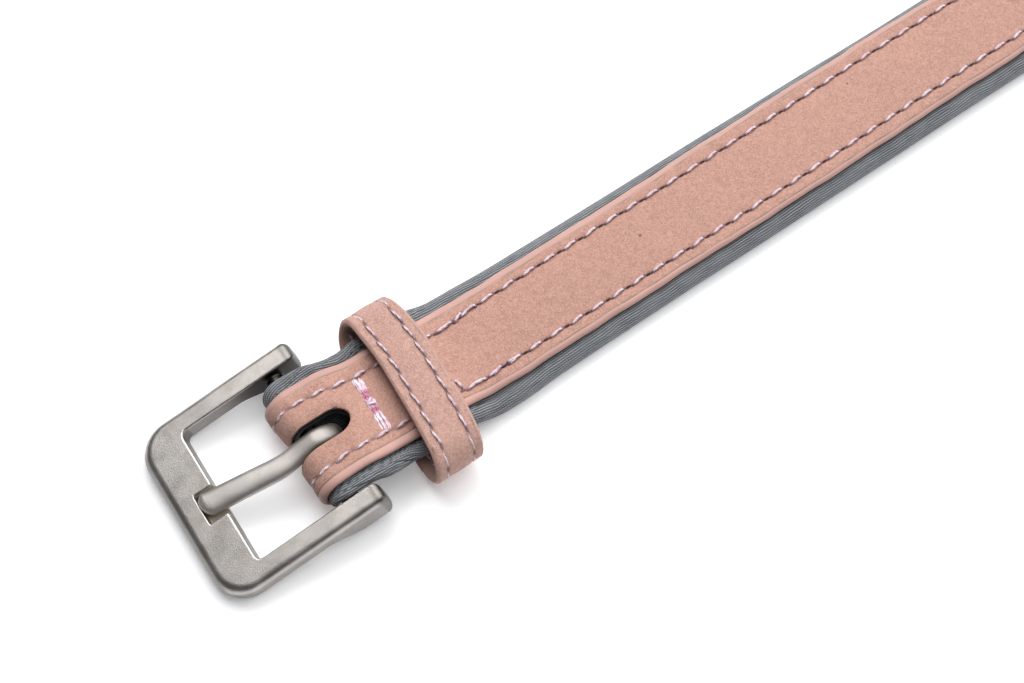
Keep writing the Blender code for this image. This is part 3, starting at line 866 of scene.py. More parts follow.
def frame_half():
    buckle = panel_values("buckle")
    inside = buckle.window_width / 2
    outside = inside + buckle.arm_width
    front = -buckle.frame_reach
    back = front + buckle.front_width
    end_round, outer_corner, inner_corner = 1.2 * MM, 5.6 * MM, 1.0 * MM

    def depth(x):
        share = float(smooth_step(0, 1, (x + arm_taper) / arm_taper))
        return buckle.frame_thickness + (buckle.arm_end_depth - buckle.frame_thickness) * share

    rings = []
    for angle in np.radians(np.linspace(90, 5, 9)):
        inset = end_round * (1 - math.cos(angle))
        x = arm_end_reach - end_round * (1 - math.sin(angle))
        rings.append(frame_ring((x, inside), (x, outside), depth(x), inset))
    for x in np.linspace(arm_end_reach - end_round, -arm_taper, 25):
        rings.append(frame_ring((x, inside), (x, outside), depth(x), 0.0))
    for x in np.linspace(-arm_taper, back + inner_corner, 8)[1:-1]:
        share = (x + arm_taper) / (back + inner_corner + arm_taper)
        far = -arm_taper + (front + outer_corner + arm_taper) * share
        rings.append(frame_ring((x, inside), (far, outside), buckle.frame_thickness, 0.0))
    for angle in np.radians(np.linspace(90, 180, 19)):
        turn = np.array((math.cos(angle), math.sin(angle)))
        near = np.array((back + inner_corner, inside - inner_corner)) + turn * inner_corner
        far = np.array((front + outer_corner, outside - outer_corner)) + turn * outer_corner
        rings.append(frame_ring(near, far, buckle.frame_thickness, 0.0))
    for share in np.linspace(1, 0, 8)[1:]:
        y_near = (inside - inner_corner) * share
        y_far = (outside - outer_corner) * share
        rings.append(frame_ring((back, y_near), (front, y_far), buckle.frame_thickness, 0.0))
    return rings


def curvature(mesh, rounds):
    """How far each point stands proud of its neighbours, evened out over a few rounds."""
    points = points_of(mesh)
    ends = np.empty(len(mesh.edges) * 2, np.int32)
    mesh.edges.foreach_get("vertices", ends)
    first, second = ends.reshape(-1, 2).T
    normals = np.empty(len(points) * 3, np.float32)
    mesh.vertices.foreach_get("normal", normals)
    normals = normals.reshape(-1, 3)
    count = np.bincount(first, minlength=len(points)) + np.bincount(second, minlength=len(points))

    def evened(values):
        total = np.zeros_like(values)
        np.add.at(total, first, values[second])
        np.add.at(total, second, values[first])
        return total / np.maximum(count, 1).reshape((-1,) + (1,) * (values.ndim - 1))

    proud = -np.einsum("ij,ij->i", evened(points) - points, normals)
    for _ in range(rounds):
        proud = 0.5 * proud + 0.5 * evened(proud)
    return proud


def shade_frame(mesh, front, near, far):
    """Marks worn ridges, painted shade and the bare recess, whose three walls are given."""
    buckle = panel_values("buckle")
    back, top = -buckle.frame_reach + buckle.front_width, buckle.arm_end_depth / 2
    x, y, z = points_of(mesh).T
    proud = curvature(mesh, 3) / buckle.grain
    inside = buckle.window_width / 2 - np.abs(y)

    recess = smooth_step(2.9 * MM, 2.7 * MM, np.abs(y - (far + near) / 2))
    recess *= smooth_step(front - 0.15 * MM, front + 0.05 * MM, x)
    recess *= smooth_step(top - 0.15 * MM, top - 0.45 * MM, z)
    recess *= (z > top - 2.1 * MM) & (x < back + 0.3 * MM)
    set_value(mesh, "recess", recess)

    # Painted shade on the bar between the arms, which is also kept unworn
    on_bar = smooth_step(2.6 * MM, 1.9 * MM, np.hypot(x, z)) * smooth_step(-0.6 * MM, 0, inside)
    wear_and_highlight = smooth_step(0.02, 0.10, proud) * (1 - on_bar)
    set_value(mesh, "wear_and_highlight", wear_and_highlight * smooth_step(-1.2 * MM, -2.2 * MM, x - arm_end_reach))

    # Painted shade: inner and recess walls, the front's outer rim, arm ends, lower sides and dips
    arm_wall = smooth_step(-0.30 * MM, -0.15 * MM, inside)
    arm_wall *= 0.50 + 0.50 * smooth_step(-11 * MM, -3 * MM, x)
    front_wall = smooth_step(0.30 * MM, 0.15 * MM, back - x) * 0.75
    walls = np.where(x < back + 1.2 * MM, front_wall, arm_wall) * (inside > -0.3 * MM)
    across = (y > near + 0.1 * MM) & (y < far - 0.1 * MM) & (z > top - 1.9 * MM)
    recess_wall = smooth_step(0.20 * MM, 0.08 * MM, np.abs(x - front)) * across
    walls = np.maximum(walls, 0.8 * recess_wall)
    walls *= smooth_step(top - 0.15 * MM, top - 0.4 * MM, z)
    outer = smooth_step(1.5 * MM, 0.7 * MM, x + buckle.frame_reach)
    outer *= 0.55 * smooth_step(top - 0.1 * MM, top - 0.7 * MM, z)
    arm_ends = 0.70 * smooth_step(-2.2 * MM, -0.9 * MM, x - arm_end_reach)
    lower = 0.36 * smooth_step(top - 0.7 * MM, top - 1.5 * MM, z)
    dips = smooth_step(0.02, 0.10, -proud)
    set_value(mesh, "painted_shade", np.max([walls, outer, arm_ends, lower, on_bar, dips], 0))


def frame_mesh():
    buckle = panel_values("buckle")
    half = frame_half()
    mirrored = [ring * np.array((1, -1, 1)) for ring in reversed(half[:-1])]
    rings = np.stack(half + mirrored)
    body = link("buckle_body", swept_mesh("buckle_body", rings))

    seat = (buckle.window_width + buckle.arm_width) / 2
    rod = arc((0, 0), buckle.bar_radius, 0, 360, 49)[:-1]
    ends = [np.column_stack([rod[:, 0], np.full(48, y), rod[:, 1]]) for y in (-seat, seat)]
    mesh = cut(body, [link("bar_shape", swept_mesh("bar_shape", np.stack(ends)))], "UNION")
    body = link("buckle_body", mesh)

    back = -buckle.frame_reach + buckle.front_width
    front, far, near = back - recess_length, 2.30 * MM, -3.20 * MM
    outline = [(front, far), (front, near), (back + cutter_over, near), (back + cutter_over, far)]
    top = buckle.arm_end_depth / 2
    mesh = cut(body, [prism("recess_shape", outline, top - 1.7 * MM, top + cutter_over)])
    body = link("buckle_body", mesh)
    grain = body.modifiers.new("Grain", "REMESH")
    grain.mode = "VOXEL"
    grain.voxel_size = buckle.grain
    soften = body.modifiers.new("Soften", "SMOOTH")
    soften.factor = 0.5
    soften.iterations = 3
    mesh = bake(body)
    mesh.shade_smooth()
    turn_outwards(mesh)
    shade_frame(mesh, front, near, far)
    mesh.transform(frame_place())
    return mesh


def prong_mesh():
    buckle = panel_values("buckle")
    top, loop_side = buckle.arm_end_depth / 2, -0.4 * MM - frame_side
    tip_x = -buckle.frame_reach + buckle.front_width - recess_length + 0.05 * MM
    tip_z = top - 1.7 * MM + clearance + buckle.prong_thickness / 2
    ring = buckle.bar_radius + clearance + buckle.prong_thickness / 2
    tip_round, bend = 1.45 * MM, 6.0 * MM
    lead = tip_x + tip_round * (1 - np.cos(np.radians(np.linspace(4, 88, 14))))
    x = np.concatenate([lead, np.linspace(tip_x + tip_round, 0, 56)])
    share = (x - tip_x) / -tip_x
    rows = table_at(PRONG, share)
    rounding = np.sqrt(1 - (1 - np.minimum((x - tip_x) / tip_round, 1)) ** 2)
    lean = np.clip((x + bend) / (bend + tip_x), 0, 1)
    y = loop_side + (0.3 * MM - loop_side) * lean
    places = np.array([tip_x, -12 * MM, -6.3 * MM, -4.4 * MM, -2.4 * MM, 0])
    y += np.interp(x, places, np.array([-0.25, -0.45, -0.62, -0.55, -0.20, 0.0]) * MM)
    y = np.convolve(np.pad(y, 5, mode="edge"), np.full(11, 1 / 11), mode="valid")
    z = ring + (tip_z - ring) * (1 - share)
    half_width = buckle.prong_width / 2 * rows["width"] * rounding
    half_height = buckle.prong_thickness / 2 * rows["thickness"] * (1 - 0.55 * (1 - rounding))
    centre = np.column_stack([x, y, z])
    out = np.tile((0.0, 0.0, 1.0), (len(x), 1))
    turn = np.radians(np.linspace(90, -185, 60))[1:]
    done = (90 - np.degrees(turn)) / 275
    loop_height = buckle.prong_thickness / 2 * (1 - 0.4 * np.maximum(done - 0.6, 0) / 0.4)
    loop_out = np.column_stack([np.cos(turn), np.zeros(len(turn)), np.sin(turn)])
    loop_centre = loop_out * (buckle.bar_radius + clearance + loop_height)[:, None]
    loop_centre[:, 0] *= 1 + 0.20 * np.maximum(np.cos(turn), 0)
    loop_centre[:, 1] = loop_side
    centre, out = np.vstack([centre, loop_centre]), np.vstack([out, loop_out])
    half_width = np.concatenate([half_width, np.full(len(turn), 1.6 * MM)])
    half_height = np.concatenate([half_height, loop_height])
    around = np.radians(np.linspace(0, 360, 33))[:-1]
    side = np.sign(np.cos(around)) * np.abs(np.cos(around)) ** 0.8
    up = np.sign(np.sin(around)) * np.abs(np.sin(around)) ** 0.8
    rings = centre[:, None, :] + out[:, None, :] * (up[None, :] * half_height[:, None])[..., None]
    rings[..., 1] += side[None, :] * half_width[:, None]
    mesh = swept_mesh("prong_skin", rings)
    points = points_of(mesh)
    # Painted highlight: the rod's crown is made lighter
    crown = np.repeat(smooth_step(0.55, 1.0, up)[None, :], len(rings), 0).ravel()
    set_value(mesh, "wear_and_highlight", 0.20 * crown)
    # Painted shade: the rod darkens towards its loop round the bar
    set_value(mesh, "painted_shade", 0.50 * smooth_step(-5.5 * MM, -1.5 * MM, points[:, 0]))
    set_value(mesh, "recess", np.zeros(len(points)))
    mesh.transform(frame_place())
    return mesh


# The keeper


def keeper_path():
    """Middle line of the band, with its outward direction and its distance along."""
    strap, keeper = panel_values("strap"), panel_values("keeper")
    half = strap.padding_width / 2 + 4.7 * MM - keeper.thickness / 2
    low = fold_leather + clearance + keeper.thickness / 2
    profile = strap_profile(np.array([keeper.place]))
    top = fold_radius + profile["seat"][0] + profile["skin"][0]
    high = top + 1.8 * MM + keeper.thickness / 2
    side = (high - low) / 2
    flat = half - side
    over = np.linspace(flat, -flat, 41)[:-1]
    beneath = np.column_stack([-over, np.full(len(over), low)])
    far_turn = arc((flat, low + side), side, -90, 90, 29)[:-1]
    crown = np.column_stack([over, high + 0.5 * MM * (1 - (over / flat) ** 2)])
    near_turn = arc((-flat, low + side), side, 90, 270, 29)[:-1]
    across, height = np.vstack([beneath, far_turn, crown, near_turn]).T
    share = (height - low) / (high - low)
    lean = keeper.lean * (share - 0.5) + across * (0.016 + 0.046 * share)
    bow = 0.50 * MM * (1 - (across / half) ** 2) * smooth_step(0.4, 0.7, share)
    path = np.column_stack([keeper.place + lean + bow, across - 0.95 * MM, height])
    ahead, behind = np.roll(path, -1, 0), np.roll(path, 1, 0)
    tangent = ahead - behind
    out = np.column_stack([np.zeros(len(path)), tangent[:, 2], -tangent[:, 1]])
    out /= np.linalg.norm(out, axis=1, keepdims=True)
    along = np.concatenate([[0], np.cumsum(np.linalg.norm(ahead - path, axis=1))])
    return path, out, along


def keeper_line(walk):
    """Points of the band's middle line and its outward directions, at distances along it."""
    path, out, along = keeper_path()
    both = np.hstack([path, out])
    both = np.vstack([both, both[:1]])
    both = np.stack([np.interp(walk, along, column) for column in both.T], -1)
    return both[:, :3], both[:, 3:] / np.linalg.norm(both[:, 3:], axis=1, keepdims=True)


def keeper_holes(along_end):
    stitch = panel_values("stitch")
    count = int(round(along_end / stitch.keeper_pitch))
    return np.linspace(0, along_end, count + 1)


def keeper_mesh():
    keeper = panel_values("keeper")
    along = keeper_path()[2]
    walk = np.interp(np.arange(0, len(along) - 1, 0.34), np.arange(len(along)), along)
    path, out = keeper_line(walk)
    half = np.full(len(path), keeper.width / 2)
    low = np.full(len(path), -keeper.thickness / 2)
    across, height = strip_section(half, low, np.full(len(path), keeper.thickness), 0.7 * MM)
    holes = keeper_holes(along[-1])
    phase = np.interp(walk, holes, np.arange(len(holes)))
    near = np.abs(phase - np.round(phase))[:, None]
    inset = half[:, None] - np.abs(across)
    outer = smooth_step(-0.2, 0.9, height / (keeper.thickness / 2))
    depth = (0.07 + 0.10 * bell(near, 0.16)) * MM * bell(inset - keeper.row_inset, 0.38 * MM)
    puff = 0.10 * MM * smooth_step(keeper.row_inset, half[0], inset)
    ripple = waves(31, walk[:, None] / (8 * MM), across / (6 * MM)) * 0.04 * MM
    height = height + outer * (puff + ripple - depth)
    wave = waves(32, walk[:, None] / (13 * MM), np.sign(across) * 2.3) * 0.09 * MM
    rings = path[:, None, :] + out[:, None, :] * height[..., None]
    far_turn = smooth_step(8 * MM, 13.5 * MM, path[:, 1]) * smooth_step(3 * MM, 6 * MM, path[:, 2])
    rings[..., 0] += across * (1 - 0.20 * far_turn[:, None] * (across > 0)) + wave
    rings += np.array(strap_origin)
    girth = np.concatenate([across, across[:, :1]], 1)
    girth = np.concatenate([girth, girth[:1]], 0)
    walk = np.repeat(np.append(walk, along[-1])[:, None], girth.shape[1], 1)
    mesh = swept_mesh("keeper_skin", rings, walk, girth, True)
    set_value(mesh, "inset", inset)
    set_value(mesh, "row", inset - keeper.row_inset)
    set_value(mesh, "hole_count", np.repeat(phase[:, None], across.shape[1], 1))
    set_value(mesh, "outer", outer)
    set_value(mesh, "cut", np.zeros(across.size))
    # How dark the needle holes are painted in shade on the keeper
    set_value(mesh, "needle", np.full(across.size, 0.55))
    return mesh


# Geometry node trees for the thread


def add_node(tree, kind, inputs=None, **settings):
    node = tree.nodes.new(kind)
    for name, value in settings.items():
        setattr(node, name, value)
    for key, value in (inputs or {}).items():
        if isinstance(value, bpy.types.NodeSocket):
            tree.links.new(value, node.inputs[key])
        else:
            node.inputs[key].default_value = value
    return node


def wire(tree, kind, inputs=None, **settings):
    """The first output of a new node."""
    return add_node(tree, kind, inputs, **settings).outputs[0]


def calc(tree, operation, first, second=0.5, third=0.5):
    inputs = {0: first, 1: second, 2: third}
    return wire(tree, "ShaderNodeMath", inputs, operation=operation)


def times(tree, *factors):
    product = factors[0]
    for factor in factors[1:]:
        product = calc(tree, "MULTIPLY", product, factor)
    return product


def new_tree(name, tree_kind, inputs, outputs):
    """A node tree with named sockets, each given as (name, kind) or (name, kind, default)."""
    tree = bpy.data.node_groups.new(name, tree_kind)
    for in_out, rows in (("INPUT", inputs), ("OUTPUT", outputs)):
        for label, kind, *default in rows:
            kind = "NodeSocket" + kind
            socket = tree.interface.new_socket(label, in_out=in_out, socket_type=kind)
            for value in default:
                socket.default_value = value
    given, result = add_node(tree, "NodeGroupInput"), add_node(tree, "NodeGroupOutput")
    return tree, given.outputs, result.inputs


def store(tree, geometry, name, value):
    """Keeps a value on every point of a geometry, under a name."""
    inputs = {"Geometry": geometry, "Name": name, "Value": value}
    kind = "GeometryNodeStoreNamedAttribute"
    return wire(tree, kind, inputs, data_type="FLOAT", domain="POINT")


def in_material(tree, geometry, given, result):
    """Ends a tree: its geometry made real and given the material."""
    whole = wire(tree, "GeometryNodeRealizeInstances", {"Geometry": geometry})
    inputs = {"Geometry": whole, "Material": given["Material"]}
    tree.links.new(wire(tree, "GeometryNodeSetMaterial", inputs), result["Geometry"])
    return tree


def thread_body(tree, curve, thickness, flatness):
    """Sweeps a slightly flat section along a curve and keeps the places that the ply needs."""
    along = add_node(tree, "GeometryNodeSplineParameter").outputs["Length"]
    curve = store(tree, curve, "ply_along", along)
    ring = add_node(tree, "GeometryNodeCurvePrimitiveCircle", {"Resolution": 7, "Radius": 1.0})
    turn = add_node(tree, "GeometryNodeSplineParameter").outputs["Factor"]
    ring = store(tree, ring.outputs[0], "ply_around", turn)
    radius = times(tree, thickness, 0.5)
    size = add_node(
        tree, "ShaderNodeCombineXYZ", {0: radius, 1: times(tree, radius, flatness), 2: 1.0}
    )
    ring = wire(tree, "GeometryNodeTransform", {"Geometry": ring, "Scale": size.outputs[0]})
    return wire(
        tree, "GeometryNodeCurveToMesh",
        {"Curve": curve, "Profile Curve": ring, "Fill Caps": True},
    )


def stitch_tree():
    """Lays one plied stitch on every edge of a row's path."""
    tree, given, result = new_tree(
        "Stitch row",
        "GeometryNodeTree",
        [
            ("Geometry", "Geometry"),
            ("Thread Thickness", "Float", 0.5 * MM),
            ("Arch Height", "Float", 0.36 * MM),
            ("Sink", "Float", 0.36 * MM),
            ("Stitch Share", "Float", 1.0),
            ("Slant", "Float", math.radians(8.0)),
            ("Seed", "Int", 7),
            ("Material", "Material"),
        ],
        [("Geometry", "Geometry")],
    )
    line = wire(tree, "GeometryNodeCurvePrimitiveLine", {"Start": (-0.5, 0, 0), "End": (0.5, 0, 0)})
    line = wire(tree, "GeometryNodeResampleCurve", {"Curve": line, "Count": 11})
    factor = add_node(tree, "GeometryNodeSplineParameter").outputs["Factor"]
    reach = calc(tree, "ABSOLUTE", calc(tree, "MULTIPLY_ADD", factor, 2.0, -1.0))
    arch = calc(tree, "SUBTRACT", 1.0, calc(tree, "POWER", reach, 2.0))
    arch = times(tree, arch, given["Arch Height"])
    dive = times(tree, calc(tree, "POWER", reach, 3.0), given["Sink"])
    lift = add_node(tree, "ShaderNodeCombineXYZ", {2: calc(tree, "SUBTRACT", arch, dive)})
    line = wire(tree, "GeometryNodeSetPosition", {"Geometry": line, "Offset": lift.outputs[0]})
    twist = times(tree, factor, 2 * math.pi * 1.25)
    line = wire(tree, "GeometryNodeSetCurveTilt", {"Curve": line, "Tilt": twist})
    line = store(tree, line, "thread_end", calc(tree, "POWER", reach, 2.0))
    slim = calc(tree, "MULTIPLY_ADD", calc(tree, "POWER", reach, 3.0), -0.6, 1.0)
    line = wire(tree, "GeometryNodeSetCurveRadius", {"Curve": line, "Radius": slim})
    stitch = thread_body(tree, line, given["Thread Thickness"], 0.82)

    ends = add_node(tree, "GeometryNodeInputMeshEdgeVertices").outputs
    edge = wire(
        tree, "ShaderNodeVectorMath", {0: ends["Position 2"], 1: ends["Position 1"]},
        operation="SUBTRACT",
    )
    up = wire(
        tree, "GeometryNodeInputNamedAttribute", {"Name": "surface_up"}, data_type="FLOAT_VECTOR"
    )
    kept = add_node(tree, "GeometryNodeCaptureAttribute", domain="EDGE")
    kept.capture_items.new("VECTOR", "Run")
    kept.capture_items.new("VECTOR", "Up")
    tree.links.new(given["Geometry"], kept.inputs[0])
    tree.links.new(edge, kept.inputs["Run"])
    tree.links.new(up, kept.inputs["Up"])
    points = wire(tree, "GeometryNodeMeshToPoints", {"Mesh": kept.outputs[0]}, mode="EDGES")
    run, up = kept.outputs["Run"], kept.outputs["Up"]
    facing = wire(
        tree, "FunctionNodeAlignRotationToVector", {"Vector": run}, axis="X", pivot_axis="AUTO"
    )
    facing = wire(
        tree, "FunctionNodeAlignRotationToVector", {"Rotation": facing, "Vector": up},
        axis="Z", pivot_axis="X",
    )
    size = add_node(tree, "ShaderNodeVectorMath", {0: run}, operation="LENGTH").outputs["Value"]
    size = times(tree, size, given["Stitch Share"])
    scale = wire(tree, "ShaderNodeCombineXYZ", {0: size, 1: 1.0, 2: 1.0})
    placed = wire(
        tree, "GeometryNodeInstanceOnPoints",
        {"Points": points, "Instance": stitch, "Rotation": facing, "Scale": scale},
    )
    wander = add_node(
        tree, "FunctionNodeRandomValue",
        {2: -math.radians(4.0), 3: math.radians(4.0), "Seed": given["Seed"]}, data_type="FLOAT",
    ).outputs[1]
    turn = add_node(
        tree, "ShaderNodeCombineXYZ", {0: 0.0, 1: 0.0, 2: calc(tree, "ADD", wander, given["Slant"])}
    )
    placed = wire(
        tree, "GeometryNodeRotateInstances", {"Instances": placed, "Rotation": turn.outputs[0]}
    )
    return in_material(tree, placed, given, result)


def strand_tree():
    """Turns every path into one plied strand of thread."""
    tree, given, result = new_tree(
        "Thread strands",
        "GeometryNodeTree",
        [
            ("Geometry", "Geometry"),
            ("Thread Thickness", "Float", 0.42 * MM),
            ("Turns per Metre", "Float", 420.0),
            ("Material", "Material"),
        ],
        [("Geometry", "Geometry")],
    )
    curve = wire(tree, "GeometryNodeMeshToCurve", {"Mesh": given["Geometry"]})
    along = add_node(tree, "GeometryNodeSplineParameter").outputs["Length"]
    twist = times(tree, along, given["Turns per Metre"], 2 * math.pi)
    curve = wire(tree, "GeometryNodeSetCurveTilt", {"Curve": curve, "Tilt": twist})
    body = thread_body(tree, curve, given["Thread Thickness"], 0.8)
    return in_material(tree, body, given, result)


def run_tree(tree, mesh, values):
    """Runs a tree on a path mesh and gives back its result as a plain mesh."""
    piece = link(mesh.name, mesh)
    step = piece.modifiers.new(tree.name, "NODES")
    step.node_group = tree
    for socket in tree.interface.items_tree:
        if socket.in_out == "INPUT" and socket.name in values:
            step[socket.identifier] = values[socket.name]
    return bake(piece)


def path_mesh(name, runs):
    """Edges through runs of points, with the surface's direction kept at every point."""
    points, edges, ups = [], [], []
    for places, outs in runs:
        start = len(points)
        points += [tuple(p) for p in places]
        ups += [tuple(o) for o in outs]
        edges += [(start + k, start + k + 1) for k in range(len(places) - 1)]
    mesh = bpy.data.meshes.new(name)
    mesh.from_pydata(points, edges, [])
    layer = mesh.attributes.new("surface_up", "FLOAT_VECTOR", "POINT")
    layer.data.foreach_set("vector", np.array(ups, np.float32).ravel())
    return mesh


def on_leather(along, across, lift=0.0):
    """Points on the strip's outer surface, and the directions that face out of it."""
    along, across = np.broadcast_arrays(np.asarray(along, float), np.asarray(across, float))
    angle = np.full(along.shape, math.pi / 2)
    folded = (along < 0) & (along > -math.pi * fold_radius)
    under = along <= -math.pi * fold_radius
    angle = np.where(folded, math.pi / 2 - along / fold_radius, angle)
    angle = np.where(under, 1.5 * math.pi, angle)
    x = np.where(folded, 0, np.where(under, -math.pi * fold_radius - along, along))
    profile = strap_profile(np.maximum(x, 0).ravel())
    surface = (profile["seat"] + profile["skin"]).reshape(along.shape)
    surface = np.where(folded | under, fold_radius, surface)
    points = stand(x, angle, across, surface)
    # follow the slope of the rise
    step = 0.1 * MM
    ahead = strap_profile(np.maximum(x + step, 0).ravel())
    slope = ((ahead["seat"] + ahead["skin"]).reshape(along.shape) - surface) / step
    slope = np.where(folded | under, 0, slope)
    out = np.stack([np.cos(angle) - slope, np.zeros_like(angle), np.sin(angle)], -1)
    out /= np.linalg.norm(out, axis=-1, keepdims=True)
    return fold_pinch(points) + out * lift + np.array(strap_origin), out


def row_side(along, row):
    """Where the stitch row of one side runs across the strip, at places along it."""
    return row * (leather_half(along, row) - row_inset(along, row))


# Materials


def mix_colour(tree, share, first, second):
    inputs = {0: share}
    for key, colour in ((6, first), (7, second)):
        inputs[key] = colour if isinstance(colour, bpy.types.NodeSocket) else (*colour, 1.0)
    return add_node(tree, "ShaderNodeMix", inputs, data_type="RGBA").outputs[2]


def remap(tree, value, low, high, to_low=0.0, to_high=1.0, smooth=True):
    return wire(
        tree, "ShaderNodeMapRange", {0: value, 1: low, 2: high, 3: to_low, 4: to_high},
        interpolation_type="SMOOTHSTEP" if smooth else "LINEAR",
    )


def noise(tree, vector, scale, detail=2.0, roughness=0.5, swirl=0.0):
    inputs = {"Vector": vector, "Scale": scale, "Detail": detail}
    inputs.update({"Roughness": roughness, "Distortion": swirl})
    return wire(tree, "ShaderNodeTexNoise", inputs)


def swirled(tree, vector, size, swirl):
    """Noise with its contours drawn out into short fibres."""
    return noise(tree, vector, 1 / size, 4.0, 0.62, swirl)


def read_value(tree, name):
    return add_node(tree, "ShaderNodeAttribute", attribute_name=name).outputs["Fac"]


def grain_group():
    """Mottle and fine grain of a surface, at sizes given in metres."""
    tree, given, result = new_tree(
        "Mottle and grain",
        "ShaderNodeTree",
        [
            ("Vector", "Vector"),
            ("Patch Scale", "Float", 120.0),
            ("Grain Scale", "Float", 3500.0),
            ("Speck Scale", "Float", 450.0),
        ],
        [
            ("Patches", "Float"),
            ("Grain", "Float"),
            ("Specks", "Float"),
        ],
    )
    patches = noise(tree, given["Vector"], given["Patch Scale"], 4.0, 0.55)
    coarse = noise(tree, given["Vector"], given["Grain Scale"], 3.0, 0.6)
    cells = add_node(
        tree, "ShaderNodeTexVoronoi", {"Vector": given["Vector"], "Scale": given["Speck Scale"]}
    )
    chosen = remap(tree, cells.outputs["Color"], 0.80, 0.86)
    dots = times(tree, remap(tree, cells.outputs["Distance"], 0.13, 0.04), chosen)
    tree.links.new(remap(tree, patches, 0.30, 0.70), result["Patches"])
    tree.links.new(remap(tree, coarse, 0.28, 0.72), result["Grain"])
    tree.links.new(dots, result["Specks"])
    return tree


def holes_group():
    """Mask of the needle holes along a row, from the count of holes and the inset."""
    tree, given, result = new_tree(
        "Stitch holes",
        "ShaderNodeTree",
        [
            ("Count", "Float", 0.0),
            ("Offset", "Float", 0.0),
            ("Length", "Float", 0.17),
            ("Width", "Float", 0.26 * MM),
        ],
        [("Holes", "Float"), ("Furrow", "Float")],
    )
    whole = calc(tree, "ROUND", given["Count"])
    run = calc(tree, "DIVIDE", calc(tree, "SUBTRACT", given["Count"], whole), given["Length"])
    side = calc(tree, "DIVIDE", given["Offset"], given["Width"])
    far = calc(tree, "ADD", calc(tree, "POWER", run, 2.0), calc(tree, "POWER", side, 2.0))
    tree.links.new(remap(tree, calc(tree, "SQRT", far), 1.25, 0.55), result["Holes"])
    wide = calc(tree, "ABSOLUTE", side)
    tree.links.new(remap(tree, wide, 2.2, 0.3), result["Furrow"])
    return tree


def new_material(name, **values):
    made = bpy.data.materials.new(name)
    made.use_nodes = True
    tree = made.node_tree
    shader = tree.nodes["Principled BSDF"]
    for key, value in values.items():
        shader.inputs[key.replace("_", " ")].default_value = value
    return made, tree, shader


def dress(tree, shader, skin, height, depth, strength):
    """Gives a material its colour and its fine relief."""
    relief = {"Height": height, "Distance": depth, "Strength": strength}
    tree.links.new(skin, shader.inputs["Base Color"])
    tree.links.new(wire(tree, "ShaderNodeBump", relief), shader.inputs["Normal"])


def group_node(tree, group, inputs):
    return add_node(tree, "ShaderNodeGroup", inputs, node_tree=group).outputs


def grain_of(tree, place, patch, grain, speck):
    inputs = {"Vector": place, "Patch Scale": patch, "Grain Scale": grain, "Speck Scale": speck}
    return group_node(tree, shared("Mottle and grain", grain_group), inputs)


def shared(name, build):
    return bpy.data.node_groups.get(name) or build()


def scaled(rgb, factor):
    return tuple(min(1.0, c * factor) for c in rgb)


def nubuck_material(name, base, edge_band, edge_share):
    colours = panel_values("colours")
    made, tree, shader = new_material(
        name, Roughness=0.85, Specular_IOR_Level=0.22, Sheen_Weight=0.12, Sheen_Roughness=0.5
    )
    place = add_node(tree, "ShaderNodeTexCoord").outputs["Object"]
    grain = grain_of(tree, place, 105.0, 3600.0, 330.0)
    inset, outer = read_value(tree, "inset"), read_value(tree, "outer")
    holes = group_node(
        tree, shared("Stitch holes", holes_group),
        {"Count": read_value(tree, "hole_count"), "Offset": read_value(tree, "row")},
    )
    soft = mix_colour(tree, grain["Patches"], scaled(base, 0.90), scaled(base, 1.10))
    nap = swirled(tree, place, 0.50 * MM, 2.4)
    fuzz = swirled(tree, place, 1.7 * MM, 1.6)
    strand = swirled(tree, place, 1.25 * MM, 1.5)
    strand = calc(tree, "ABSOLUTE", calc(tree, "SUBTRACT", strand, 0.5))
    strand = remap(tree, strand, 0.045, 0.008, 0.0, 0.75)
    skin = mix_colour(tree, remap(tree, nap, 0.38, 0.62), scaled(base, 0.70), scaled(base, 1.30))
    skin = mix_colour(tree, 0.35, skin, soft)
    skin = mix_colour(tree, remap(tree, fuzz, 0.40, 0.68, 0.0, 0.42), skin, scaled(base, 1.20))
    skin = mix_colour(tree, strand, skin, scaled(base, 1.42))
    skin = mix_colour(tree, times(tree, grain["Grain"], 0.30), skin, scaled(base, 0.78))
    skin = mix_colour(tree, times(tree, grain["Specks"], 0.7), skin, scaled(base, 0.22))
    edge = remap(tree, inset, edge_band + 0.07 * MM, edge_band - 0.07 * MM)
    dark_band, pale_band = scaled(colours.edge, 0.95), scaled(colours.edge, 1.05)
    band = mix_colour(tree, grain["Patches"], dark_band, pale_band)
    edge = times(tree, edge, edge_share)
    skin = mix_colour(tree, edge, skin, band)
    crease = calc(tree, "ABSOLUTE", calc(tree, "SUBTRACT", inset, edge_band))
    crease = remap(tree, crease, 0.22 * MM, 0.02 * MM)
    broken = remap(tree, noise(tree, place, 1 / (3.0 * MM)), 0.35, 0.62, 0.10, 0.85)
    crease = times(tree, crease, broken, edge_share)
    skin = mix_colour(tree, crease, skin, (0.330, 0.240, 0.200))
    skin = mix_colour(tree, outer, scaled(base, 0.70), skin)
    # Painted shade along each stitch row's furrow
    furrow_shade = times(tree, holes["Furrow"], outer, 0.30)
    skin = mix_colour(tree, furrow_shade, skin, scaled(base, 0.55))
    # Painted shade in the needle holes
    hole_shade = times(tree, holes["Holes"], outer, read_value(tree, "needle"))
    skin = mix_colour(tree, hole_shade, skin, (0.030, 0.010, 0.015))
    # Painted shade: near black on cut walls and in the slot
    skin = mix_colour(tree, times(tree, read_value(tree, "cut"), 0.96), skin, (0.010, 0.009, 0.009))
    rough = remap(tree, edge, 0.0, 1.0, 0.88, 0.48, smooth=False)
    tree.links.new(rough, shader.inputs["Roughness"])
    raised = calc(tree, "ADD", times(tree, nap, 1.2), times(tree, grain["Grain"], 0.35))
    raised = times(tree, raised, remap(tree, edge, 0.0, 1.0, 1.0, 0.12, smooth=False))
    dress(tree, shader, skin, raised, 0.13 * MM, 0.8)
    return made


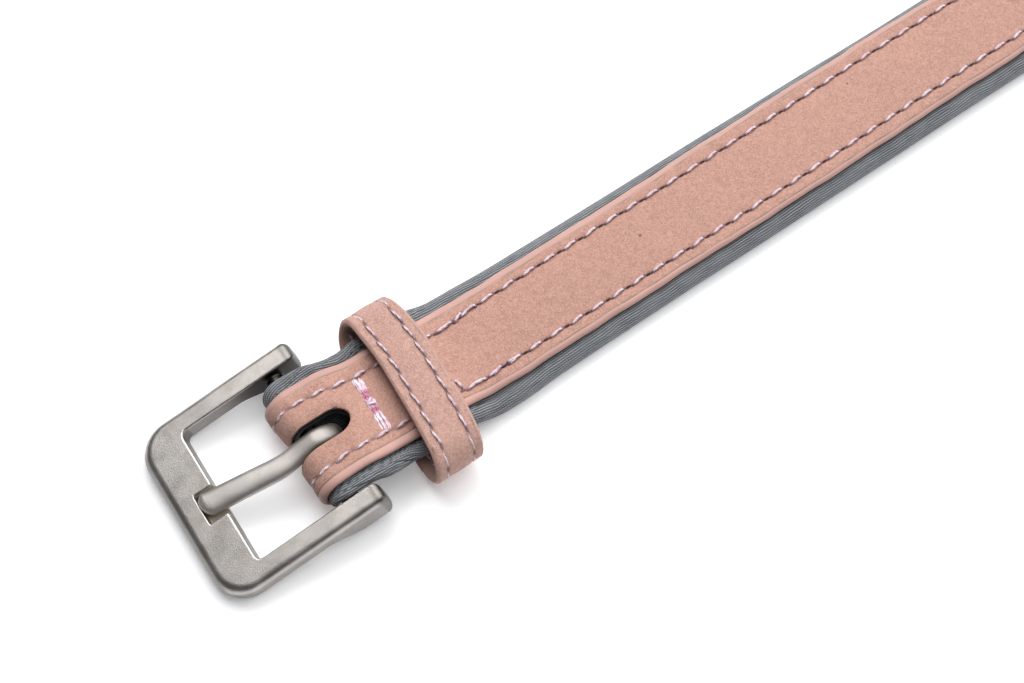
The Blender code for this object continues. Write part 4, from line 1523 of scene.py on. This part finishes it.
def knit_material():
    colours = panel_values("colours")
    made, tree, shader = new_material(
        "lining_knit", Roughness=0.82, Specular_IOR_Level=0.3,
        Sheen_Weight=0.25, Sheen_Roughness=0.4,
    )
    uv = wire(tree, "ShaderNodeUVMap", uv_map="Length")
    place = add_node(tree, "ShaderNodeTexCoord").outputs["Object"]
    parts = add_node(tree, "ShaderNodeSeparateXYZ", {0: uv}).outputs
    drift = times(tree, noise(tree, place, 1 / (6 * MM)), 0.9 * MM)
    across = calc(tree, "ADD", parts["Y"], drift)
    rib = calc(tree, "SINE", times(tree, across, 2 * math.pi / (0.40 * MM)))
    rib = calc(tree, "MULTIPLY_ADD", rib, 0.5, 0.5)
    lean = times(tree, calc(tree, "PINGPONG", across, 0.20 * MM), 1.6)
    loops = calc(tree, "ADD", parts["X"], lean)
    loops = calc(tree, "SINE", times(tree, loops, 2 * math.pi / (0.46 * MM)))
    loops = calc(tree, "MULTIPLY_ADD", loops, 0.5, 0.5)
    loops = calc(tree, "MULTIPLY_ADD", loops, 0.55, 0.45)
    weave = times(tree, loops, calc(tree, "POWER", rib, 0.7))
    stretch = {"Vector": uv, "Scale": (0.22, 1.0, 1.0)}
    drawn_out = wire(tree, "ShaderNodeMapping", stretch, vector_type="POINT")
    uneven = noise(tree, drawn_out, 1 / (0.62 * MM), 3.0, 0.6)
    patches = noise(tree, place, 1 / (5 * MM))
    base = tuple(colours.lining)
    skin = mix_colour(tree, weave, scaled(base, 0.12), scaled(base, 2.35))
    skin = mix_colour(tree, remap(tree, uneven, 0.40, 0.66, 0.0, 0.50), skin, scaled(base, 0.50))
    skin = mix_colour(tree, remap(tree, patches, 0.35, 0.65, 0.0, 0.25), skin, scaled(base, 1.35))
    # Painted shade in the creases
    crease = remap(tree, read_value(tree, "crease"), 0.10, 0.95, 0.0, 0.80)
    skin = mix_colour(tree, crease, skin, scaled(base, 0.22))
    # Painted shade: near black round the slot
    skin = mix_colour(tree, read_value(tree, "cut"), skin, (0.006, 0.006, 0.007))
    height = calc(tree, "ADD", weave, times(tree, uneven, 0.8))
    dress(tree, shader, skin, height, 0.12 * MM, 0.9)
    return made


def metal_material(name, tone, rough):
    colours = panel_values("colours")
    made, tree, shader = new_material(name)
    place = add_node(tree, "ShaderNodeTexCoord").outputs["Object"]
    grain = grain_of(tree, place, 260.0, 5200.0, 700.0)
    base = scaled(tuple(colours.metal), tone)
    brown = (base[0] * 0.80, base[1] * 0.74, base[2] * 0.66)
    blotch = noise(tree, place, 1 / (1.9 * MM), 4.0, 0.62)
    skin = mix_colour(tree, grain["Patches"], scaled(base, 0.88), scaled(base, 1.10))
    skin = mix_colour(tree, remap(tree, blotch, 0.48, 0.70, 0.0, 0.55), skin, brown)
    skin = mix_colour(tree, times(tree, grain["Grain"], 0.24), skin, scaled(base, 1.25))
    skin = mix_colour(tree, times(tree, grain["Specks"], 0.5), skin, scaled(brown, 0.55))
    # Lighter and glossier: worn edges of the frame and a painted highlight on the prong's crown
    wear_and_highlight = times(tree, read_value(tree, "wear_and_highlight"), remap(tree, blotch, 0.3, 0.6, 0.5, 1.0))
    skin = mix_colour(tree, times(tree, wear_and_highlight, 0.65), skin, scaled(base, 1.5))
    recess = read_value(tree, "recess")
    skin = mix_colour(tree, times(tree, recess, 0.85), skin, tuple(colours.recess))
    # Painted shade: near black where the meshes mark it
    painted_shade = times(tree, read_value(tree, "painted_shade"), 0.95)
    skin = mix_colour(tree, painted_shade, skin, scaled(brown, 0.10))
    tree.links.new(calc(tree, "MULTIPLY_ADD", recess, -0.8, 1.0), shader.inputs["Metallic"])
    gloss = remap(tree, wear_and_highlight, 0.0, 1.0, rough, rough - 0.12, smooth=False)
    gloss = calc(tree, "MULTIPLY_ADD", grain["Patches"], 0.06, gloss)
    tree.links.new(gloss, shader.inputs["Roughness"])
    dress(tree, shader, skin, grain["Grain"], 0.022 * MM, 0.5)
    return made


def thread_material():
    colours = panel_values("colours")
    made, tree, shader = new_material(
        "stitch_thread", Roughness=0.34, Specular_IOR_Level=0.7, Sheen_Weight=0.25
    )
    along, around = read_value(tree, "ply_along"), read_value(tree, "ply_around")
    place = add_node(tree, "ShaderNodeTexCoord").outputs["Object"]
    spiral = calc(tree, "ADD", times(tree, along, 700.0), times(tree, around, 2.0))
    ply = calc(tree, "SINE", times(tree, spiral, 2 * math.pi))
    ply = calc(tree, "MULTIPLY_ADD", ply, 0.5, 0.5)
    tint = noise(tree, place, 1 / (1.3 * MM))
    base = tuple(colours.thread)
    # Painted highlight: a pale streak along every ply
    pale = (0.93, 0.82, 0.88)
    skin = mix_colour(tree, ply, base, pale)
    skin = mix_colour(tree, remap(tree, tint, 0.40, 0.62, 0.0, 0.75), skin, pale)
    # Painted shade where each stitch dives into its hole
    end = remap(tree, read_value(tree, "thread_end"), 0.16, 0.52)
    end = times(tree, end, read_value(tree, "end_shade"))
    skin = mix_colour(tree, end, skin, (0.150, 0.055, 0.085))
    # Painted shade: deeper pink on the bar tack's pinched waists
    skin = mix_colour(tree, read_value(tree, "waist_shade"), skin, (0.470, 0.115, 0.235))
    dress(tree, shader, skin, ply, 0.04 * MM, 0.5)
    return made


def shared_material(name, build, *values):
    return bpy.data.materials.get(name) or build(*values)


# Operators, one for each piece


class CollarStep(bpy.types.Operator):
    bl_options = {"REGISTER", "UNDO"}

    def execute(self, context):
        self.make()
        return {"FINISHED"}


class COLLAR_OT_leather(CollarStep):
    """Makes the leather strip with its fold, slot, turned edges and tail holes"""

    bl_idname = "collar.leather"
    bl_label = "Leather strip"

    def make(self):
        band = panel_values("strap").edge_band
        base = tuple(panel_values("colours").nubuck)
        material = shared_material("nubuck", nubuck_material, "nubuck", base, band, 1.0)
        finish_piece(
            "leather_strip", leather_mesh(), "strap", material,
            ("strap_leather", "fold_leather"),
        )


class COLLAR_OT_lining(CollarStep):
    """Makes the padded knitted lining with its side rolls and gathers"""

    bl_idname = "collar.lining"
    bl_label = "Padded lining"

    def make(self):
        material = shared_material("lining_knit", knit_material)
        piece = finish_piece(
            "padded_lining", lining_mesh(), "strap", material, ("strap_padding",)
        )


class COLLAR_OT_frame(CollarStep):
    """Makes the cast buckle frame with its bar and the recess for the prong"""

    bl_idname = "collar.frame"
    bl_label = "Buckle frame"

    def make(self):
        material = shared_material("cast_metal", metal_material, "cast_metal", 1.34, 0.33)
        finish_piece(
            "cast_frame", frame_mesh(), "frame", material, ("buckle_frame",), 0
        )


class COLLAR_OT_prong(CollarStep):
    """Makes the prong from its tip to its loop round the bar"""

    bl_idname = "collar.prong"
    bl_label = "Prong"

    def make(self):
        material = shared_material("rod_metal", metal_material, "rod_metal", 1.58, 0.46)
        finish_piece("round_prong", prong_mesh(), "prong", material, ("prong",))


class COLLAR_OT_keeper(CollarStep):
    """Makes the keeper band"""

    bl_idname = "collar.keeper"
    bl_label = "Keeper"

    def make(self):
        base = tuple(panel_values("colours").keeper)
        material = shared_material(
            "keeper_nubuck", nubuck_material, "keeper_nubuck", base, 0.55 * MM, 0.25
        )
        finish_piece(
            "keeper_band", keeper_mesh(), "strap", material, ("keeper_loop",)
        )


class COLLAR_OT_stitches(CollarStep):
    """Sews the rows along the strap, round its fold and tail, and along the keeper"""

    bl_idname = "collar.stitches"
    bl_label = "Stitch rows"

    def make(self):
        keeper, stitch = panel_values("keeper"), panel_values("stitch")
        runs = []
        for row in (-1, 1):
            holes = hole_places(row)
            runs.append(on_leather(holes, row_side(holes, row), -0.02 * MM))
        centre, reach, turns = tip_turns()
        round_x, round_y = centre + reach * np.cos(turns), reach * np.sin(turns)
        round_x[0], round_x[-1] = (hole_places(row)[-1] for row in (-1, 1))
        runs.append(on_leather(round_x, round_y, -0.02 * MM))
        corner = row_side(np.array([23.6 * MM]), -1)[0]
        runs.append(on_leather([23.6 * MM, 23.1 * MM], [corner, corner + 2.8 * MM], 0.04 * MM))
        for row in (-1, 1):
            holes = np.array([24.9, 28.4, 31.6, 34.0]) * MM
            side = row_side(holes, row) + np.array([0.20, -0.30, 0.32, -0.18]) * MM
            runs.append(on_leather(holes, side, 0.08 * MM))
        material = shared_material("stitch_thread", thread_material)
        tree = shared("Stitch row", stitch_tree)
        values = {"Thread Thickness": stitch.thread, "Seed": stitch.seed, "Material": material}
        values["Stitch Share"], values["Sink"] = 0.90, 0.52 * MM
        mesh = run_tree(tree, path_mesh("strap_rows", runs), values)
        along = points_of(mesh)[:, 0] - strap_origin.x
        # Strength of the painted shade at the stitch ends, stronger further along the strap
        set_value(mesh, "end_shade", 0.55 + 0.38 * smooth_step(18 * MM, 30 * MM, along))
        finish_piece("strap_stitches", mesh, "strap", material)

        centre, outward = keeper_line(keeper_holes(keeper_path()[2][-1]))
        runs = []
        for side in (-1, 1):
            for face in (1, -1):
                places = centre + outward * face * (keeper.thickness / 2 - 0.02 * MM)
                places[:, 0] += side * (keeper.width / 2 - keeper.row_inset)
                runs.append((places + np.array(strap_origin), outward * face))
        values["Thread Thickness"] = stitch.thread * 0.80
        values["Stitch Share"], values["Sink"] = 1.0, 0.36 * MM
        mesh = run_tree(tree, path_mesh("keeper_rows", runs), values)
        # Strength of the painted shade at the keeper's stitch ends
        set_value(mesh, "end_shade", np.full(len(mesh.vertices), 0.62))
        finish_piece("keeper_stitches", mesh, "strap", material)


class COLLAR_OT_bar_tack(CollarStep):
    """Sews the thick cross tack between the slot and the keeper"""

    bl_idname = "collar.bar_tack"
    bl_label = "Bar tack"

    def make(self):
        tack_x, tack_start, tack_length = 10.55, 4.75, 10.2  # millimetres on the strip
        runs = []
        random = np.random.default_rng(5)
        share = np.linspace(0, 1, 40)
        waist = 1 - 0.22 * bell(share - 0.34, 0.08) - 0.25 * bell(share - 0.64, 0.08)
        swell = 0.30 * bell(share - 0.49, 0.07) + 0.12 * bell(share - 0.15, 0.10)
        for k, offset in enumerate(np.linspace(-0.60, 0.60, 5)):
            sway = waves(60 + k, share * 1.6, 0.0, 3) * 0.08
            x = (tack_x - 0.5 * share + offset * waist + sway) * MM
            y = (tack_start - tack_length * share + random.uniform(-0.2, 0.2)) * MM
            arch = np.minimum(1, 7 * np.minimum(share, 1 - share)) ** 0.6
            lift = (-0.35 + 0.50 * arch + swell + 0.12 * (k % 2) - 0.25 * offset**2) * MM
            runs.append(on_leather(x, y, lift[:, None]))
        for centre, slant in ((0.455, 0.9), (0.525, -0.9)):
            around = np.linspace(-1, 1, 14)
            x = (tack_x - 0.5 * centre + 0.70 * around) * MM
            y = (tack_start - tack_length * centre + 0.35 * slant * around) * MM
            lift = (-0.35 + 1.05 * np.sqrt(np.maximum(1 - around**2, 0))) * MM
            runs.append(on_leather(x, y, lift[:, None]))
        material = shared_material("stitch_thread", thread_material)
        values = {"Thread Thickness": 0.56 * MM, "Material": material}
        tree = shared("Thread strands", strand_tree)
        mesh = run_tree(tree, path_mesh("tack_paths", runs), values)
        y = (points_of(mesh)[:, 1] - strap_origin.y) / MM
        down = (tack_start - y) / tack_length
        # Painted shade: deeper pink on the tack's two pinched waists
        waist_shade = 1.25 * bell(down - 0.34, 0.085) + 1.15 * bell(down - 0.63, 0.06)
        set_value(mesh, "waist_shade", np.minimum(waist_shade, 0.95))
        finish_piece("bar_tack", mesh, "strap", material)


class COLLAR_OT_stage(CollarStep):
    """Sets the pale floor, the soft lights and the camera"""

    bl_idname = "collar.stage"
    bl_label = "Stage"

    def make(self):
        scene = bpy.context.scene
        scene.view_settings.view_transform = "Standard"
        mesh = bpy.data.meshes.new("floor")
        corners = [(-3, -3), (3, -3), (3, 3), (-3, 3)]
        mesh.from_pydata([(x, y, -0.05 * MM) for x, y in corners], [], [(0, 1, 2, 3)])
        floor = link("floor", mesh)
        pale, glow = (0.93, 0.93, 0.935, 1), (0.97, 0.98, 1.0, 1)
        made = new_material(
            "pale_floor", Base_Color=pale, Roughness=0.9, Specular_IOR_Level=0.1,
            Emission_Color=glow, Emission_Strength=0.22,
        )[0]
        mesh.materials.append(made)

        world = bpy.data.worlds.new("studio")
        world.use_nodes = True
        sky = world.node_tree.nodes["Background"]
        sky.inputs["Color"].default_value = (0.92, 0.96, 1.0, 1)
        sky.inputs["Strength"].default_value = 0.09
        scene.world = world

        aim = Vector((-0.13, 0.02, 0.0))
        for name, place, size, power in (
            ("key_light", (0.15, 0.62, 0.85), 0.70, 5.1),
            ("top_light", (0.52, 0.10, 1.00), 1.50, 19.5),
        ):
            data = bpy.data.lights.new(name, "AREA")
            data.shape = "SQUARE"
            data.size = size
            data.energy = power
            lamp = bpy.data.objects.new(name, data)
            scene.collection.objects.link(lamp)
            lamp.location = aim + Vector(place)
            lamp.rotation_euler = (aim - lamp.location).to_track_quat("-Z", "Y").to_euler()

        data = bpy.data.cameras.new("camera")
        data.sensor_width = 36.0
        data.lens = 1776.942 * 36.0 / 1024.0
        data.clip_start = 0.01
        camera = bpy.data.objects.new("camera", data)
        scene.collection.objects.link(camera)
        seat = Vector((-23.709, -108.875, 260.714)) * MM + strap_origin
        turn = Matrix.Rotation(-0.599, 4, "Z") @ Matrix.Rotation(0.044, 4, "Y")
        turn = turn @ Matrix.Rotation(0.439, 4, "X")
        camera.matrix_world = Matrix.Translation(seat) @ turn
        scene.camera = camera


class COLLAR_PT_panel(bpy.types.Panel):
    """Lists the collar's sizes and the steps that build it"""

    bl_idname = "COLLAR_PT_panel"
    bl_label = "Padded dog collar"
    bl_space_type = "VIEW_3D"
    bl_region_type = "UI"
    bl_category = "Collar"

    def draw(self, context):
        for group in GROUPS:
            box = self.layout.box()
            settings = getattr(context.scene, group)
            for name in settings.__annotations__:
                box.prop(settings, name)
        for step in STEPS:
            self.layout.operator(step.bl_idname)


GROUPS = {
    "collar_strap": CollarStrapSizes,
    "collar_buckle": CollarBuckleSizes,
    "collar_keeper": CollarKeeperSizes,
    "collar_stitch": CollarStitchSizes,
    "collar_colours": CollarColours,
}
STEPS = (
    COLLAR_OT_stage,
    COLLAR_OT_frame,
    COLLAR_OT_prong,
    COLLAR_OT_lining,
    COLLAR_OT_leather,
    COLLAR_OT_keeper,
    COLLAR_OT_stitches,
    COLLAR_OT_bar_tack,
)


def register():
    for name, group in GROUPS.items():
        bpy.utils.register_class(group)
        setattr(bpy.types.Scene, name, PointerProperty(type=group))
    for step in STEPS:
        bpy.utils.register_class(step)
    bpy.utils.register_class(COLLAR_PT_panel)


def unregister():
    bpy.utils.unregister_class(COLLAR_PT_panel)
    for step in reversed(STEPS):
        bpy.utils.unregister_class(step)
    for name, group in GROUPS.items():
        delattr(bpy.types.Scene, name)
        bpy.utils.unregister_class(group)


def main():
    register()
    for step in STEPS:
        category, action = step.bl_idname.split(".")
        getattr(getattr(bpy.ops, category), action)()


if __name__ == "__main__":
    main()
